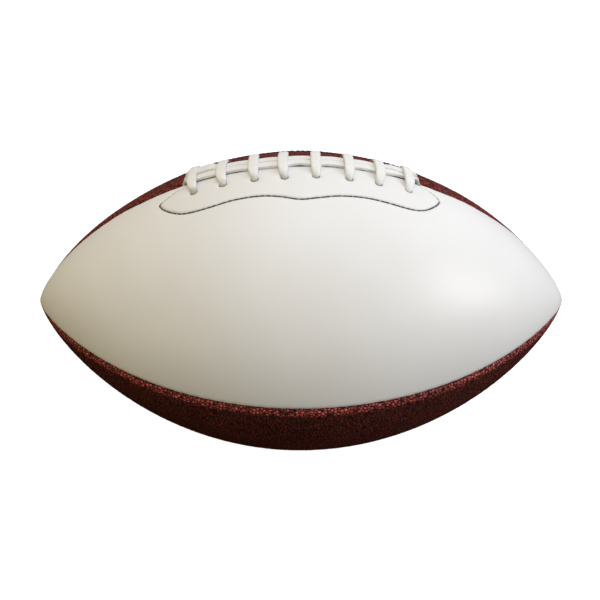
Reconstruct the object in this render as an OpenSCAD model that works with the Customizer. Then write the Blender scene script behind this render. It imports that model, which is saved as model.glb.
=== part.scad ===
// American football with a stitched and laced cover, lying on its side with the laces up.
// The ball's long axis is X and its centre is the origin. Four panels meet at four
// seams: the lace seam on top (+Z), the front (-Y), the bottom (-Z) and the back (+Y).
// An inset is a depth below the cover's outer surface, measured at the ball's middle.

/* [Ball] */
// Half of the ball's length, from the centre to a tip
half_length = 142.5; // [115:0.5:175]
// Radius of the ball at its middle
mid_radius = 80; // [66:0.5:100]
// Exponent of the profile: 0.5 is an ellipsoid and 1 has straight, sharp tips
fullness = 0.78; // [0.72:0.01:0.88]

/* [Cover] */
// Thickness of a panel
leather_t = 1.8; // [1.4:0.1:2.4]
// Thickness of the fabric lining behind a panel
lining_t = 0.8; // [0.5:0.1:1.2]
// Depth of the groove on the outside of each seam
groove_depth = 0.8; // [0.4:0.1:1]
// Width of the groove on the outside of each seam
groove_w = 2; // [1:0.1:3]
// How far a panel's turned-in edge reaches past the lining
turn_in = 1.4; // [1.2:0.1:2]
// Thickness of a seam's thread
thread_d = 1; // [0.8:0.1:1.1]
// Distance between a seam's stitches
stitch_pitch = 6; // [4:0.5:10]

/* [Lacing] */
// Number of cross laces
lace_count = 8; // [5:1:9]
// Distance between neighbouring cross laces
lace_pitch = 14.4; // [13:0.1:15]
// Distance of a lace hole from the lace seam, along the surface
hole_offset = 12; // [11.5:0.1:15]
// Diameter of a lace hole
hole_d = 6; // [5.9:0.1:6.4]
// Width of the lace
lace_w = 5.2; // [4.4:0.1:5.3]
// Thickness of the lace
lace_t = 1.5; // [1:0.1:1.6]
// Gap between a lace and what it lies on
lace_gap = 0.1; // [0.05:0.05:0.3]
// Distance of a long lace's middle from the lace seam
long_lace_offset = 3.1; // [3:0.1:3.4]
// Distance from the last cross lace to the hole that takes a long lace's end
end_hole_step = 5.6; // [5.4:0.1:6.5]
// Width of the gap between the two panels under the laces
slit_w = 1; // [0.6:0.1:1.6]
// Furthest distance of the reinforcement's outline from the lace seam
patch_reach = 26.8; // [24:0.1:28]
// Thickness of the tongue between the laces and the bladder
tongue_t = 0.8; // [0.6:0.1:1.2]

/* [Bladder and valve] */
// Thickness of the bladder's wall
bladder_t = 1; // [0.7:0.1:1.5]
// Diameter of the valve's head, which shows in a hole in the back panel
valve_d = 7.6; // [6:0.1:9]
// Depth of the valve, from its head to its inner end
valve_length = 21; // [16:0.5:26]
// Diameter of the flange that bonds the valve to the bladder
valve_flange_d = 26; // [20:0.5:32]
// Diameter of the soft core inside the valve
core_d = 4.4; // [3.8:0.1:5]
// Diameter of the guide hole for an inflating needle
needle_d = 2.1; // [2:0.05:2.4]
// Depth of the guide hole for an inflating needle
needle_depth = 10; // [6:0.5:12]
// Angle of the valve round the ball, from the top towards the back
valve_angle = 45; // [35:1:55]

/* [Hidden] */

// Angles of the seams round the ball's axis, from the bottom towards the back.
BOTTOM = 0;
BACK = 90;
TOP = 180;
FRONT = 270;

profile_steps = 18;  // profile points from the middle to a tip
tip_share = 1.35;    // depth of an inset at a tip, as a multiple of the inset
touch = 0.2;         // room between soft pieces that lie on each other
far = 400;           // longer than any part of the ball
cut_reach = 6;       // reach of a lace hole's cut to each side of the cover's surface
lace_corner = 0.4;   // size of the cut corners of the lace's section
sewn_groove_w = 1.2; // width of the groove sewn round a reinforcement
sewn_groove_depth = 0.6;
sewn_thread_w = 0.7; // width and depths of the thread in that groove
sewn_thread_top = 0.1;
sewn_thread_bottom = 0.5;
valve_top = 0.3;     // depth of the valve's head below the cover's surface
core_top = 0.6;      // depth of the core's head below the cover's surface
valve_floor = 2;     // thickness of the valve's inner end
core_room = 0.3;     // gap between the core and the valve's inner end

// Depths of the layers, outside in.
lining_inset = leather_t;
lining_back = leather_t + lining_t;
turn_in_back = lining_back + turn_in;
thread_inset = lining_back + turn_in / 2;
run_h = 0.7 * thread_d;
inner_lace_inset = lining_back + 2 * touch + lace_t / 2;
tongue_inset = lining_back + lace_t + 3 * touch;
bladder_inset = lining_back + touch;
rib_half_w = leather_t + run_h + touch;
rib_inset = turn_in_back + touch;
lace_low = lace_gap + lace_t / 2;
lace_high = 2 * lace_gap + 1.5 * lace_t;
valve_bottom = valve_top + valve_length;

// Lengths of the laced stretch.
last_lace_x = lace_pitch * (lace_count - 1) / 2;
end_hole_x = last_lace_x + end_hole_step;
slit_half = end_hole_x + 2.6;
turn_in_start = slit_half + 2;
patch_tip_x = end_hole_x + 10.5;
tongue_half_l = patch_tip_x + 4;
tongue_half_w = hole_offset + 6;
last_stitch_x = half_length - 18;

/* Profile and shared forms */

// Radius of the surface at inset below the cover, at x along the axis.
function radius_at(x, inset = 0) =
    let (a = half_length - tip_share * inset, u = 1 - x * x / (a * a))
    u > 1e-9 ? (mid_radius - inset) * pow(u, fullness) : 0;

// Points [radius, x] of the profile from tip to tip, closer together near the tips.
function meridian(inset) = [
    for (i = [-profile_steps:profile_steps])
        let (x = (half_length - tip_share * inset) * sin(90 * i / profile_steps))
        [abs(i) == profile_steps ? 0 : radius_at(x, inset), x]];

function reversed(list) = [for (i = [len(list) - 1:-1:0]) list[i]];

// Stands the axis of a revolved form along X and turns it round that axis.
module round_axis(angle) {
    rotate([0, 90, 0]) rotate([0, 0, angle]) children();
}

// Everything inside the surface at inset.
module form(inset) {
    round_axis(0) rotate_extrude($fn = 96) polygon(meridian(inset));
}

// A quarter of the shell between two insets, counted round from one seam to the next.
module quarter_shell(from_seam, outer, inner) {
    round_axis(from_seam) rotate_extrude(angle = 90, $fn = 96)
        polygon(concat(meridian(outer), reversed(meridian(inner))));
}

// Slabs along both planes that hold the four seams.
module seam_slabs(half_w) {
    cube([far, 2 * half_w, far], center = true);
    cube([far, far, 2 * half_w], center = true);
}

// A form pressed over the ribs that the turned-in seams make.
module form_over_ribs(inset, half_w, depth) {
    difference() {
        form(inset);
        difference() {
            seam_slabs(half_w);
            form(depth);
        }
    }
}

// A leaf along one seam between two insets, from x1 to x2, on one side (1 or -1) of it.
module seam_leaf(seam, side, outer, inner, x1, x2, near, thickness) {
    steps = ceil((x2 - x1) / 7);
    xs = [for (i = [0:steps]) x1 + (x2 - x1) * i / steps];
    edge = [for (x = xs) [radius_at(x, outer), x]];
    back = [for (x = xs) [radius_at(x, inner), x]];
    round_axis(seam) translate([0, side > 0 ? near + thickness : -near, 0])
        rotate([90, 0, 0]) linear_extrude(height = thickness)
            polygon(concat(edge, reversed(back)));
}

// The stretches of a seam that are sewn: all of it, or both ends beside the laces.
function sewn_stretches(seam) = seam == TOP
    ? [[-last_stitch_x - 4, -turn_in_start], [turn_in_start, last_stitch_x + 4]]
    : [[-last_stitch_x - 4, last_stitch_x + 4]];

// Places of the stitches along a sewn stretch.
function stitch_places(stretch) =
    let (n = floor((stretch[1] - stretch[0] - 4) / stitch_pitch),
        middle = (stretch[0] + stretch[1]) / 2)
    [for (i = [0:n]) middle + (i - n / 2) * stitch_pitch];

// One bar for each stitch, through both turned-in edges.
module stitch_bars(seam, diameter, half_l) {
    for (stretch = sewn_stretches(seam), x = stitch_places(stretch))
        round_axis(seam) translate([radius_at(x, thread_inset), 0, x])
            rotate([90, 0, 0]) cylinder(h = 2 * half_l, d = diameter, center = true, $fn = 24);
}

/* Lacing places */

lace_xs = [for (i = [0:lace_count - 1]) (i - (lace_count - 1) / 2) * lace_pitch];
end_hole_xs = [-end_hole_x, end_hole_x];

// Angle from the top, in degrees, of a place c along the surface from the lace seam.
function angle_of(x, c) = c / radius_at(x) * 180 / PI;

// Angle, in degrees, by which the surface falls away towards +X at x.
function fall_at(x) = atan(radius_at(x - 0.5) - radius_at(x + 0.5));

// Directions at x and c from the lace seam: out of the surface, lengthwise along it
// towards +X, and crosswise along it towards the front.
function outwards(x, c) = let (f = fall_at(x), t = angle_of(x, c))
    [sin(f), -cos(f) * sin(t), cos(f) * cos(t)];
function lengthwise(x, c) = let (f = fall_at(x), t = angle_of(x, c))
    [cos(f), sin(f) * sin(t), -sin(f) * cos(t)];
function crosswise(x, c) = let (t = angle_of(x, c)) [0, -cos(t), -sin(t)];

// Point at x, at c from the lace seam (positive to the front) and at height h.
function place(x, c, h) = let (r = radius_at(x), t = angle_of(x, c))
    [x, -r * sin(t), r * cos(t)] + h * outwards(x, c);

// A round hole through the cover, square to its surface.
module cover_hole(x, c, diameter) {
    translate(place(x, c, 0)) rotate([angle_of(x, c), 0, 0]) rotate([0, fall_at(x), 0])
        cylinder(h = 2 * cut_reach, d = diameter, center = true, $fn = 32);
}

// The lace holes on one side of the lace seam.
module lace_holes(side) {
    for (x = lace_xs) cover_hole(x, side * hole_offset, hole_d);
    for (x = end_hole_xs) cover_hole(x, side * long_lace_offset, hole_d);
}

// Outline of the reinforcement beside the lace seam: a wing with a wavy long side and
// round ends. Each point is [x, distance from the seam] on the half towards +X.
function wing_points() = let (w = patch_reach, e = patch_tip_x) [
    [0, w], [9, w - 1.2], [18, w - 2.9], [30, w - 3.7], [e - 26, w - 3.3],
    [e - 18.5, w - 3], [e - 12.5, w - 4], [e - 7.5, w - 7.2], [e - 3, w - 12],
    [e - 0.5, w - 16], [e, 8.4], [e - 2, 5.2], [turn_in_start - 0.4, 2.6]];

// Catmull-Rom point between p1 and p2.
function spline_point(p0, p1, p2, p3, t) =
    0.5 * (2 * p1 + (p2 - p0) * t + (2 * p0 - 5 * p1 + 4 * p2 - p3) * t * t
        + (3 * p1 - p0 - 3 * p2 + p3) * t * t * t);

// The wing's edge on the half towards +X, as smooth points.
function wing_half() = let (p = wing_points(), n = len(p) - 1) [
    for (i = [0:n - 1], s = [0:1])
        spline_point(i == 0 ? [-p[1][0], p[1][1]] : p[i - 1], p[i], p[i + 1],
            i == n - 1 ? p[n] : p[i + 2], s / 2),
    p[n]];

// The wing seen from above, grown by a margin away from its long middle line.
function wing_outline(margin, side) =
    let (half = wing_half(),
        whole = concat([for (i = [len(half) - 1:-1:1]) [-half[i][0], half[i][1]]], half),
        grown = [for (p = whole)
            let (gap = p - [p[0] * 0.86, patch_reach / 2]) p + margin * gap / norm(gap)])
    [for (p = grown) let (r = radius_at(p[0]))
        [p[0], -side * r * sin(max(p[1], 0.1) / r * 180 / PI)]];

// A prism above the wing, from its near edge by the lace seam to its wavy edge.
module wing_prism(side, margin, near) {
    edge = wing_outline(margin, side);
    first = edge[0];
    last = edge[len(edge) - 1];
    linear_extrude(height = far)
        polygon(concat([[first[0], -side * near]], edge, [[last[0], -side * near]]));
}

/* Cover */

// A panel with the edges along its two seams turned in.
module panel(from_seam) {
    to_seam = (from_seam + 90) % 360;
    difference() {
        union() {
            quarter_shell(from_seam, 0, leather_t);
            for (end = [[from_seam, 1], [to_seam, -1]], s = sewn_stretches(end[0]))
                seam_leaf(end[0], end[1], leather_t / 2, turn_in_back, s[0], s[1], 0, leather_t);
        }
        difference() {
            seam_slabs(groove_w / 2);
            form(groove_depth);
        }
        for (seam = [from_seam, to_seam]) stitch_bars(seam, thread_d, leather_t + 1);
    }
}

// What the lacing takes out of the two upper panels and their linings.
module lacing_cuts(side) {
    lace_holes(side);
    translate([0, 0, far / 2]) cube([2 * slit_half, slit_w, far], center = true);
}

// The sewn line round a reinforcement, as a band between two insets.
module sewn_line(side, width, outer, inner) {
    intersection() {
        difference() {
            wing_prism(side, width / 2, (slit_w + sewn_groove_w) / 2);
            wing_prism(side, -width / 2, -1);
        }
        difference() {
            form(outer);
            form(inner);
        }
    }
}

module front_panel() {
    color("whitesmoke") difference() {
        panel(TOP);
        lacing_cuts(1);
        sewn_line(1, sewn_groove_w, -1, sewn_groove_depth);
    }
}

module back_panel() {
    color("saddlebrown") difference() {
        panel(BACK);
        lacing_cuts(-1);
        sewn_line(-1, sewn_groove_w, -1, sewn_groove_depth);
        valve_rod(valve_d + 2 * touch, -cut_reach, cut_reach);
    }
}

module lower_front_panel() {
    color("saddlebrown") panel(FRONT);
}

module lower_back_panel() {
    color("saddlebrown") panel(BOTTOM);
}

// The fabric behind a panel, clear of the turned-in edges.
module lining(from_seam) {
    difference() {
        quarter_shell(from_seam, lining_inset, lining_back);
        seam_slabs(leather_t + touch / 2);
    }
}

module front_lining() {
    color("linen") difference() {
        lining(TOP);
        wing_prism(1, touch, -1);
    }
}

module back_lining() {
    color("linen") difference() {
        lining(BACK);
        wing_prism(-1, touch, -1);
        valve_rod(valve_d + 2 * touch, 0, cut_reach);
    }
}

module lower_front_lining() {
    color("linen") lining(FRONT);
}

module lower_back_lining() {
    color("linen") lining(BOTTOM);
}

// A reinforcement that fills the window in the lining beside the lace seam.
module lace_patch(side) {
    difference() {
        intersection() {
            wing_prism(side, 0, slit_w / 2);
            quarter_shell(side > 0 ? TOP : BACK, lining_inset, lining_back);
        }
        lace_holes(side);
    }
}

module front_lace_patch() {
    color("wheat") lace_patch(1);
}

module back_lace_patch() {
    color("wheat") lace_patch(-1);
}

// The thread that lies in a reinforcement's sewn line.
module front_patch_stitching() {
    color("dimgray") sewn_line(1, sewn_thread_w, sewn_thread_top, sewn_thread_bottom);
}

module back_patch_stitching() {
    color("dimgray") sewn_line(-1, sewn_thread_w, sewn_thread_top, sewn_thread_bottom);
}

// A seam's thread: a run along each side of the turned-in edges and bars through them.
module seam_thread(seam) {
    for (s = sewn_stretches(seam), side = [-1, 1])
        seam_leaf(seam, side, thread_inset - run_h / 2, thread_inset + run_h / 2,
            s[0] + 2, s[1] - 2, leather_t, run_h);
    stitch_bars(seam, thread_d, leather_t + run_h / 2);
}

module lace_seam_thread() {
    color("ivory") seam_thread(TOP);
}

module front_seam_thread() {
    color("ivory") seam_thread(FRONT);
}

module back_seam_thread() {
    color("ivory") seam_thread(BACK);
}

module bottom_seam_thread() {
    color("ivory") seam_thread(BOTTOM);
}

/* Laces */

// Corner points of the lace's section, which has cut corners.
lace_section = [for (q = [[1, 1], [-1, 1], [-1, -1], [1, -1]], e = [0, 1])
    let (first = (q[0] * q[1] > 0) == (e == 0))
    [q[0] * (lace_w / 2 - (first ? 0 : lace_corner)),
        q[1] * (lace_t / 2 - (first ? lace_corner : 0))]];

function unit(v) = v / norm(v);

// Sweeps the lace's section along stations of [point, width direction].
module lace_strip(stations) {
    n = len(stations);
    m = len(lace_section);
    points = [for (i = [0:n - 1])
        let (before = stations[max(i - 1, 0)][0], after = stations[min(i + 1, n - 1)][0],
            t = unit(after - before), w0 = stations[i][1], w = unit(w0 - (w0 * t) * t),
            up = cross(t, w))
        for (p = lace_section) stations[i][0] + w * p[0] + up * p[1]];
    sides = [for (i = [0:n - 2], k = [0:m - 1])
        let (a = i * m + k, b = i * m + (k + 1) % m) each [[a, b + m, b], [a, a + m, b + m]]];
    ends = [[for (k = [0:m - 1]) k], [for (k = [m - 1:-1:0]) (n - 1) * m + k]];
    polyhedron(points, concat(sides, ends), convexity = 8);
}

// A cross lace on one side, from over the seam down through its hole to the inside:
// [share of the hole's distance from the seam, height].
cross_profile = [[0, lace_high], [0.22, lace_high], [0.46, lace_high],
    [0.66, lace_high - 0.45], [0.84, lace_high - 1.5], [0.97, 0],
    [0.99, -1.2], [0.975, -inner_lace_inset + 0.9], [0.88, -inner_lace_inset]];

// Stations of a cross lace, from the front hole over to the back hole.
function cross_stations(x) = let (n = len(cross_profile)) [
    for (i = [1 - n:n - 1]) let (p = cross_profile[abs(i)], side = i < 0 ? 1 : -1)
        [place(x, side * p[0] * hole_offset, p[1]), lengthwise(x, 0)]];

// Stations of the hidden stretch on its way from the back hole at x1 to the front hole
// at x2, for the shares of the way in list.
function inner_stations(x1, x2, shares) = [
    for (t = shares) let (x = x1 + (x2 - x1) * t)
        [place(x, (2 * t - 1) * hole_offset, -inner_lace_inset), lengthwise(x, 0)]];

// The cross laces are one strip: over the seam, through a back hole, across inside to
// the next front hole, and so on, with a short tail inside at each end.
module cross_lacing() {
    first = lace_xs[0];
    last = lace_xs[lace_count - 1];
    color("ivory") lace_strip(concat(
        inner_stations(first - lace_pitch, first, [0.72, 0.82]),
        [for (i = [0:lace_count - 1]) each concat(cross_stations(lace_xs[i]),
            i == lace_count - 1 ? [] :
                inner_stations(lace_xs[i], lace_xs[i + 1], [0.2, 0.4, 0.6, 0.8]))],
        inner_stations(last, last + lace_pitch, [0.18, 0.28])));
}

// A long lace that lies beside the lace seam under the cross laces, with its ends
// turned down through the end holes and tucked outwards.
module long_lace(side) {
    c = side * long_lace_offset;
    across = crosswise(0, c);
    over = [for (i = [-12:12]) [place((end_hole_x - 2) * i / 12, c, lace_low), across]];
    down = [for (p = [[0.9, lace_low - 0.3], [0.2, -0.6], [0.1, -1.8], [0.2, -lining_back]])
        [place(end_hole_x - p[0], c, p[1]), across]];
    up = [for (s = reversed(down)) [[-s[0][0], s[0][1], s[0][2]], s[1]]];
    color("ivory") lace_strip(concat(up, over, down));
}

module front_long_lace() {
    long_lace(1);
}

module back_long_lace() {
    long_lace(-1);
}

// The strip that keeps the laces off the bladder.
module tongue() {
    color("tan") intersection() {
        translate([0, 0, far / 2])
            cube([2 * tongue_half_l, 2 * tongue_half_w, far], center = true);
        difference() {
            form(tongue_inset);
            form(tongue_inset + tongue_t);
        }
    }
}

/* Bladder and valve */

// The bladder's surface, or the same surface deeper by a wall.
module bladder_form(wall) {
    difference() {
        form_over_ribs(bladder_inset + wall, rib_half_w + wall, rib_inset + wall);
        difference() {
            translate([0, 0, far / 2]) cube([2 * (tongue_half_l + touch + wall),
                2 * (tongue_half_w + touch + wall), far], center = true);
            form(tongue_inset + tongue_t + touch + wall);
        }
    }
}

module bladder() {
    color("dimgray") difference() {
        bladder_form(0);
        bladder_form(bladder_t);
        valve_rod(valve_d, 0, bladder_inset + 2 * bladder_t);
    }
}

// A rod on the valve's line between two depths below the cover's surface.
module valve_rod(diameter, top, bottom) {
    rotate([-valve_angle, 0, 0]) translate([0, 0, mid_radius - bottom])
        cylinder(h = bottom - top, d = diameter, $fn = 48);
}

module valve_body() {
    color("dimgray") difference() {
        union() {
            valve_rod(valve_d, valve_top, valve_bottom);
            intersection() {
                valve_rod(valve_flange_d, 0, bladder_inset + 2 * bladder_t + valve_floor);
                difference() {
                    form(bladder_inset + bladder_t);
                    form(bladder_inset + 2 * bladder_t);
                }
            }
        }
        valve_rod(core_d, 0, valve_bottom - valve_floor);
        valve_rod(needle_d, valve_bottom - 2 * valve_floor, valve_bottom + 1);
    }
}

// The soft core that seals round a needle.
module valve_core() {
    color("black") difference() {
        valve_rod(core_d, core_top, valve_bottom - valve_floor - core_room);
        valve_rod(needle_d, 0, core_top + needle_depth);
    }
}

front_panel();
back_panel();
lower_front_panel();
lower_back_panel();
front_lining();
back_lining();
lower_front_lining();
lower_back_lining();
lace_seam_thread();
front_seam_thread();
back_seam_thread();
bottom_seam_thread();
front_lace_patch();
back_lace_patch();
front_patch_stitching();
back_patch_stitching();
cross_lacing();
front_long_lace();
back_long_lace();
tongue();
bladder();
valve_body();
valve_core();
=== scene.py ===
"""American football with a stitched and laced cover, dressed round its CAD frame.

The ball lies along X with its laces up (+Z) and its white panel between the laces and
the front (-Y). All sizes in the classes are millimetres; meshes are made in metres.
A place on the cover is given by x along the ball and by an angle round it, counted
from the lace seam towards the front, or by c, the distance from the lace seam along
the surface in the same sense.
"""
import logging
import math
from collections.abc import Iterator
from contextlib import contextmanager
from dataclasses import dataclass
from enum import Enum

import bpy
import bmesh
import numpy as np
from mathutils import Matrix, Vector


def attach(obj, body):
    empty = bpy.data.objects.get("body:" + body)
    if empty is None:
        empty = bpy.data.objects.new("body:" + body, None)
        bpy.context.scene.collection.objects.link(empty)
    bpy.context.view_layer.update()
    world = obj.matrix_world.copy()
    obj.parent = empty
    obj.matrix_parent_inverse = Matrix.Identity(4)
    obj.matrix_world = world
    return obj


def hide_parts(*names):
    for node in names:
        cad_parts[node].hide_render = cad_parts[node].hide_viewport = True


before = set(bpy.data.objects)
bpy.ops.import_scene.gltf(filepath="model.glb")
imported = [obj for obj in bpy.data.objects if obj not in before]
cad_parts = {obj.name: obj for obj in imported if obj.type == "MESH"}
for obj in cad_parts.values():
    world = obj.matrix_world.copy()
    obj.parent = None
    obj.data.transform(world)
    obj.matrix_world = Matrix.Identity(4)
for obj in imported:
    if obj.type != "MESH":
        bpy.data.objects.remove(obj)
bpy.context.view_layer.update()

Array = np.ndarray
MM = 0.001
log = logging.getLogger("football")


# ---------------------------------------------------------------- mesh helpers

def smooth_step(value: Array, low: float, high: float) -> Array:
    """Rises from 0 at low to 1 at high as 3t² - 2t³.

    Args:
        value: Values to map.
        low: Value at which the rise starts.
        high: Value at which it ends; it may be below low, for a fall.

    Returns:
        The mapped values, between 0 and 1.
    """
    t = np.clip((np.asarray(value, float) - low) / (high - low), 0.0, 1.0)
    return t * t * (3.0 - 2.0 * t)


def unit(vectors: Array) -> Array:
    """Scales each vector in the last axis to length 1."""
    return vectors / np.maximum(np.linalg.norm(vectors, axis=-1, keepdims=True), 1e-12)


def catmull_rom(points: Array, steps: int) -> Array:
    """Smooth curve through points, with steps stretches between neighbours.

    Each stretch is the cubic that leaves a point in the direction from the point
    before it to the point after it.

    Args:
        points: Control points, one per row.
        steps: Number of stretches between two control points.

    Returns:
        The curve's points, one per row, ends included.
    """
    pad = np.vstack([2 * points[0] - points[1], points, 2 * points[-1] - points[-2]])
    t = (np.arange(steps) / steps)[None, :, None]
    p0, p1, p2, p3 = (pad[k:len(pad) - 3 + k, None, :] for k in range(4))
    curve = 0.5 * (2 * p1 + (p2 - p0) * t + (2 * p0 - 5 * p1 + 4 * p2 - p3) * t ** 2
                   + (3 * p1 - p0 - 3 * p2 + p3) * t ** 3)
    return np.vstack([curve.reshape(-1, points.shape[1]), points[-1:]])


def grid_faces(rows: int, columns: int, closed: bool) -> Array:
    """Quads of a grid whose vertices are numbered row by row.

    Args:
        rows: Number of rows.
        columns: Number of vertices in a row.
        closed: Whether the last column joins the first.

    Returns:
        Vertex numbers, four per face.
    """
    i = np.arange(rows - 1)[:, None] * columns
    j = np.arange(columns if closed else columns - 1)[None, :]
    k = (j + 1) % columns
    return np.stack([i + j, i + columns + j, i + columns + k, i + k], axis=-1).reshape(-1, 4)


@contextmanager
def opened(mesh: bpy.types.Mesh) -> Iterator[bmesh.types.BMesh]:
    """Opens a mesh for editing and writes it back.

    Args:
        mesh: The mesh to edit.

    Returns:
        Its editable form, for a with statement.
    """
    work = bmesh.new()
    work.from_mesh(mesh)
    yield work
    work.to_mesh(mesh)
    work.free()


def mesh_piece(name: str, points: Array, faces: Array | list, merge: bool = False,
               values: dict[str, Array] | None = None) -> bpy.types.Object:
    """Makes a mesh object at the origin from points in millimetres.

    Args:
        name: Name of the object and its mesh.
        points: Vertex places, one per row, in millimetres.
        faces: Vertex numbers of each face.
        merge: Whether vertices at one place are joined and flat faces removed.
        values: Numbers to keep on the vertices, by attribute name.

    Returns:
        The object, linked to the scene, with smooth shading.
    """
    mesh = bpy.data.meshes.new(name)
    face_list = faces.tolist() if isinstance(faces, np.ndarray) else faces
    mesh.from_pydata((points * MM).tolist(), [], face_list)
    for key, numbers in (values or {}).items():
        mesh.attributes.new(key, "FLOAT", "POINT").data.foreach_set(
            "value", np.ascontiguousarray(numbers, np.float32))
    if merge:
        with opened(mesh) as work:
            bmesh.ops.remove_doubles(work, verts=work.verts, dist=1e-7)
            bmesh.ops.dissolve_degenerate(work, dist=1e-8, edges=work.edges)
    mesh.shade_smooth()
    mesh.update()
    piece = bpy.data.objects.new(name, mesh)
    bpy.context.scene.collection.objects.link(piece)
    return piece


def dress(piece: bpy.types.Object, material: bpy.types.Material) -> None:
    """Gives every material slot of a piece the same material."""
    if not piece.data.materials:
        piece.data.materials.append(material)
    for slot in piece.material_slots:
        slot.material = material


def mark_sharp(mesh: bpy.types.Mesh, degrees: float) -> None:
    """Marks the edges sharp where two faces meet at more than an angle.

    Args:
        mesh: The mesh to mark.
        degrees: Smallest angle between the faces' normals that counts as sharp.
    """
    limit = math.radians(degrees)
    with opened(mesh) as work:
        for edge in work.edges:
            edge.smooth = edge.calc_face_angle(0.0) < limit


def cut(piece: bpy.types.Object, cutter: bpy.types.Object) -> None:
    """Takes cutter's solid out of a piece and removes the cutter."""
    modifier = piece.modifiers.new("cut", "BOOLEAN")
    modifier.object = cutter
    modifier.operation = "DIFFERENCE"
    modifier.solver = "MANIFOLD"
    graph = bpy.context.evaluated_depsgraph_get()
    mesh = bpy.data.meshes.new_from_object(piece.evaluated_get(graph), depsgraph=graph)
    piece.modifiers.clear()
    old = piece.data
    piece.data = mesh
    mesh.name = piece.name
    bpy.data.meshes.remove(old)
    bpy.data.objects.remove(cutter)


# ---------------------------------------------------------------- the ball's form

@dataclass(frozen=True)
class BallForm:
    """The inflated cover's surface, a curve turned about X.

    Attributes:
        half_length: From the centre to a tip.
        mid_radius: Radius at the middle.
        fullness: Exponent of the profile.
        tip_share: Depth of a layer at a tip, as a multiple of its depth at the middle.
        short: How much shorter the half towards -X is.
    """

    half_length: float = 142.5
    short: float = 1.3
    mid_radius: float = 80.0
    fullness: float = 0.78
    tip_share: float = 1.35

    def half(self, way: Array) -> Array:
        """Distance of the tip from the centre, on the side that the sign of way gives."""
        return self.half_length - self.short * (np.asarray(way) < 0)

    def radius(self, x: Array) -> Array:
        """Radius at x: mid_radius times (1 - (x / half)²) to the power fullness."""
        share = 1.0 - (np.asarray(x, float) / self.half(x)) ** 2
        return self.mid_radius * np.clip(share, 1e-9, None) ** self.fullness

    def shell(self, turn: Array, angle: Array, height: Array) -> Array:
        """Points of a layer at a height over the cover.

        x is (half + tip_share height) sin(turn), and the radius there is
        (mid_radius + height) cos(turn) to the power 2 fullness.

        Args:
            turn: Place along the ball, from -90° at one tip to 90° at the other, in radians.
            angle: Place round the ball, from the lace seam towards the front, in radians.
            height: Height over the cover, negative inside.

        Returns:
            Points, with x, y and z in a last axis.
        """
        x = (self.half(turn) + self.tip_share * height) * np.sin(turn)
        r = (self.mid_radius + height) * np.clip(np.cos(turn), 0, 1) ** (2 * self.fullness)
        return np.stack([x + 0 * angle, -r * np.sin(angle), r * np.cos(angle)], axis=-1)

    def directions(self, x: Array, c: Array) -> tuple[Array, Array, Array]:
        """Directions out of the surface, lengthwise to +X and crosswise to the front.

        Args:
            x: Places along the ball.
            c: Distances from the lace seam.

        Returns:
            Three arrays of unit vectors.
        """
        fall = np.arctan(self.radius(x - 0.5) - self.radius(x + 0.5))
        angle = c / self.radius(x)
        out = np.stack([np.sin(fall), -np.cos(fall) * np.sin(angle),
                        np.cos(fall) * np.cos(angle)], -1)
        along = np.stack([np.cos(fall), np.sin(fall) * np.sin(angle),
                          -np.sin(fall) * np.cos(angle)], -1)
        across = np.stack([0 * angle, -np.cos(angle), -np.sin(angle)], -1)
        return out, along, across

    def place(self, x: Array, c: Array, height: Array) -> Array:
        """Points at x, at c from the lace seam and at a height along the normal."""
        x, c, height = np.broadcast_arrays(*(np.asarray(v, float) for v in (x, c, height)))
        angle = c / self.radius(x)
        r = self.radius(x)
        base = np.stack([x, -r * np.sin(angle), r * np.cos(angle)], -1)
        return base + height[..., None] * self.directions(x, c)[0]


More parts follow.
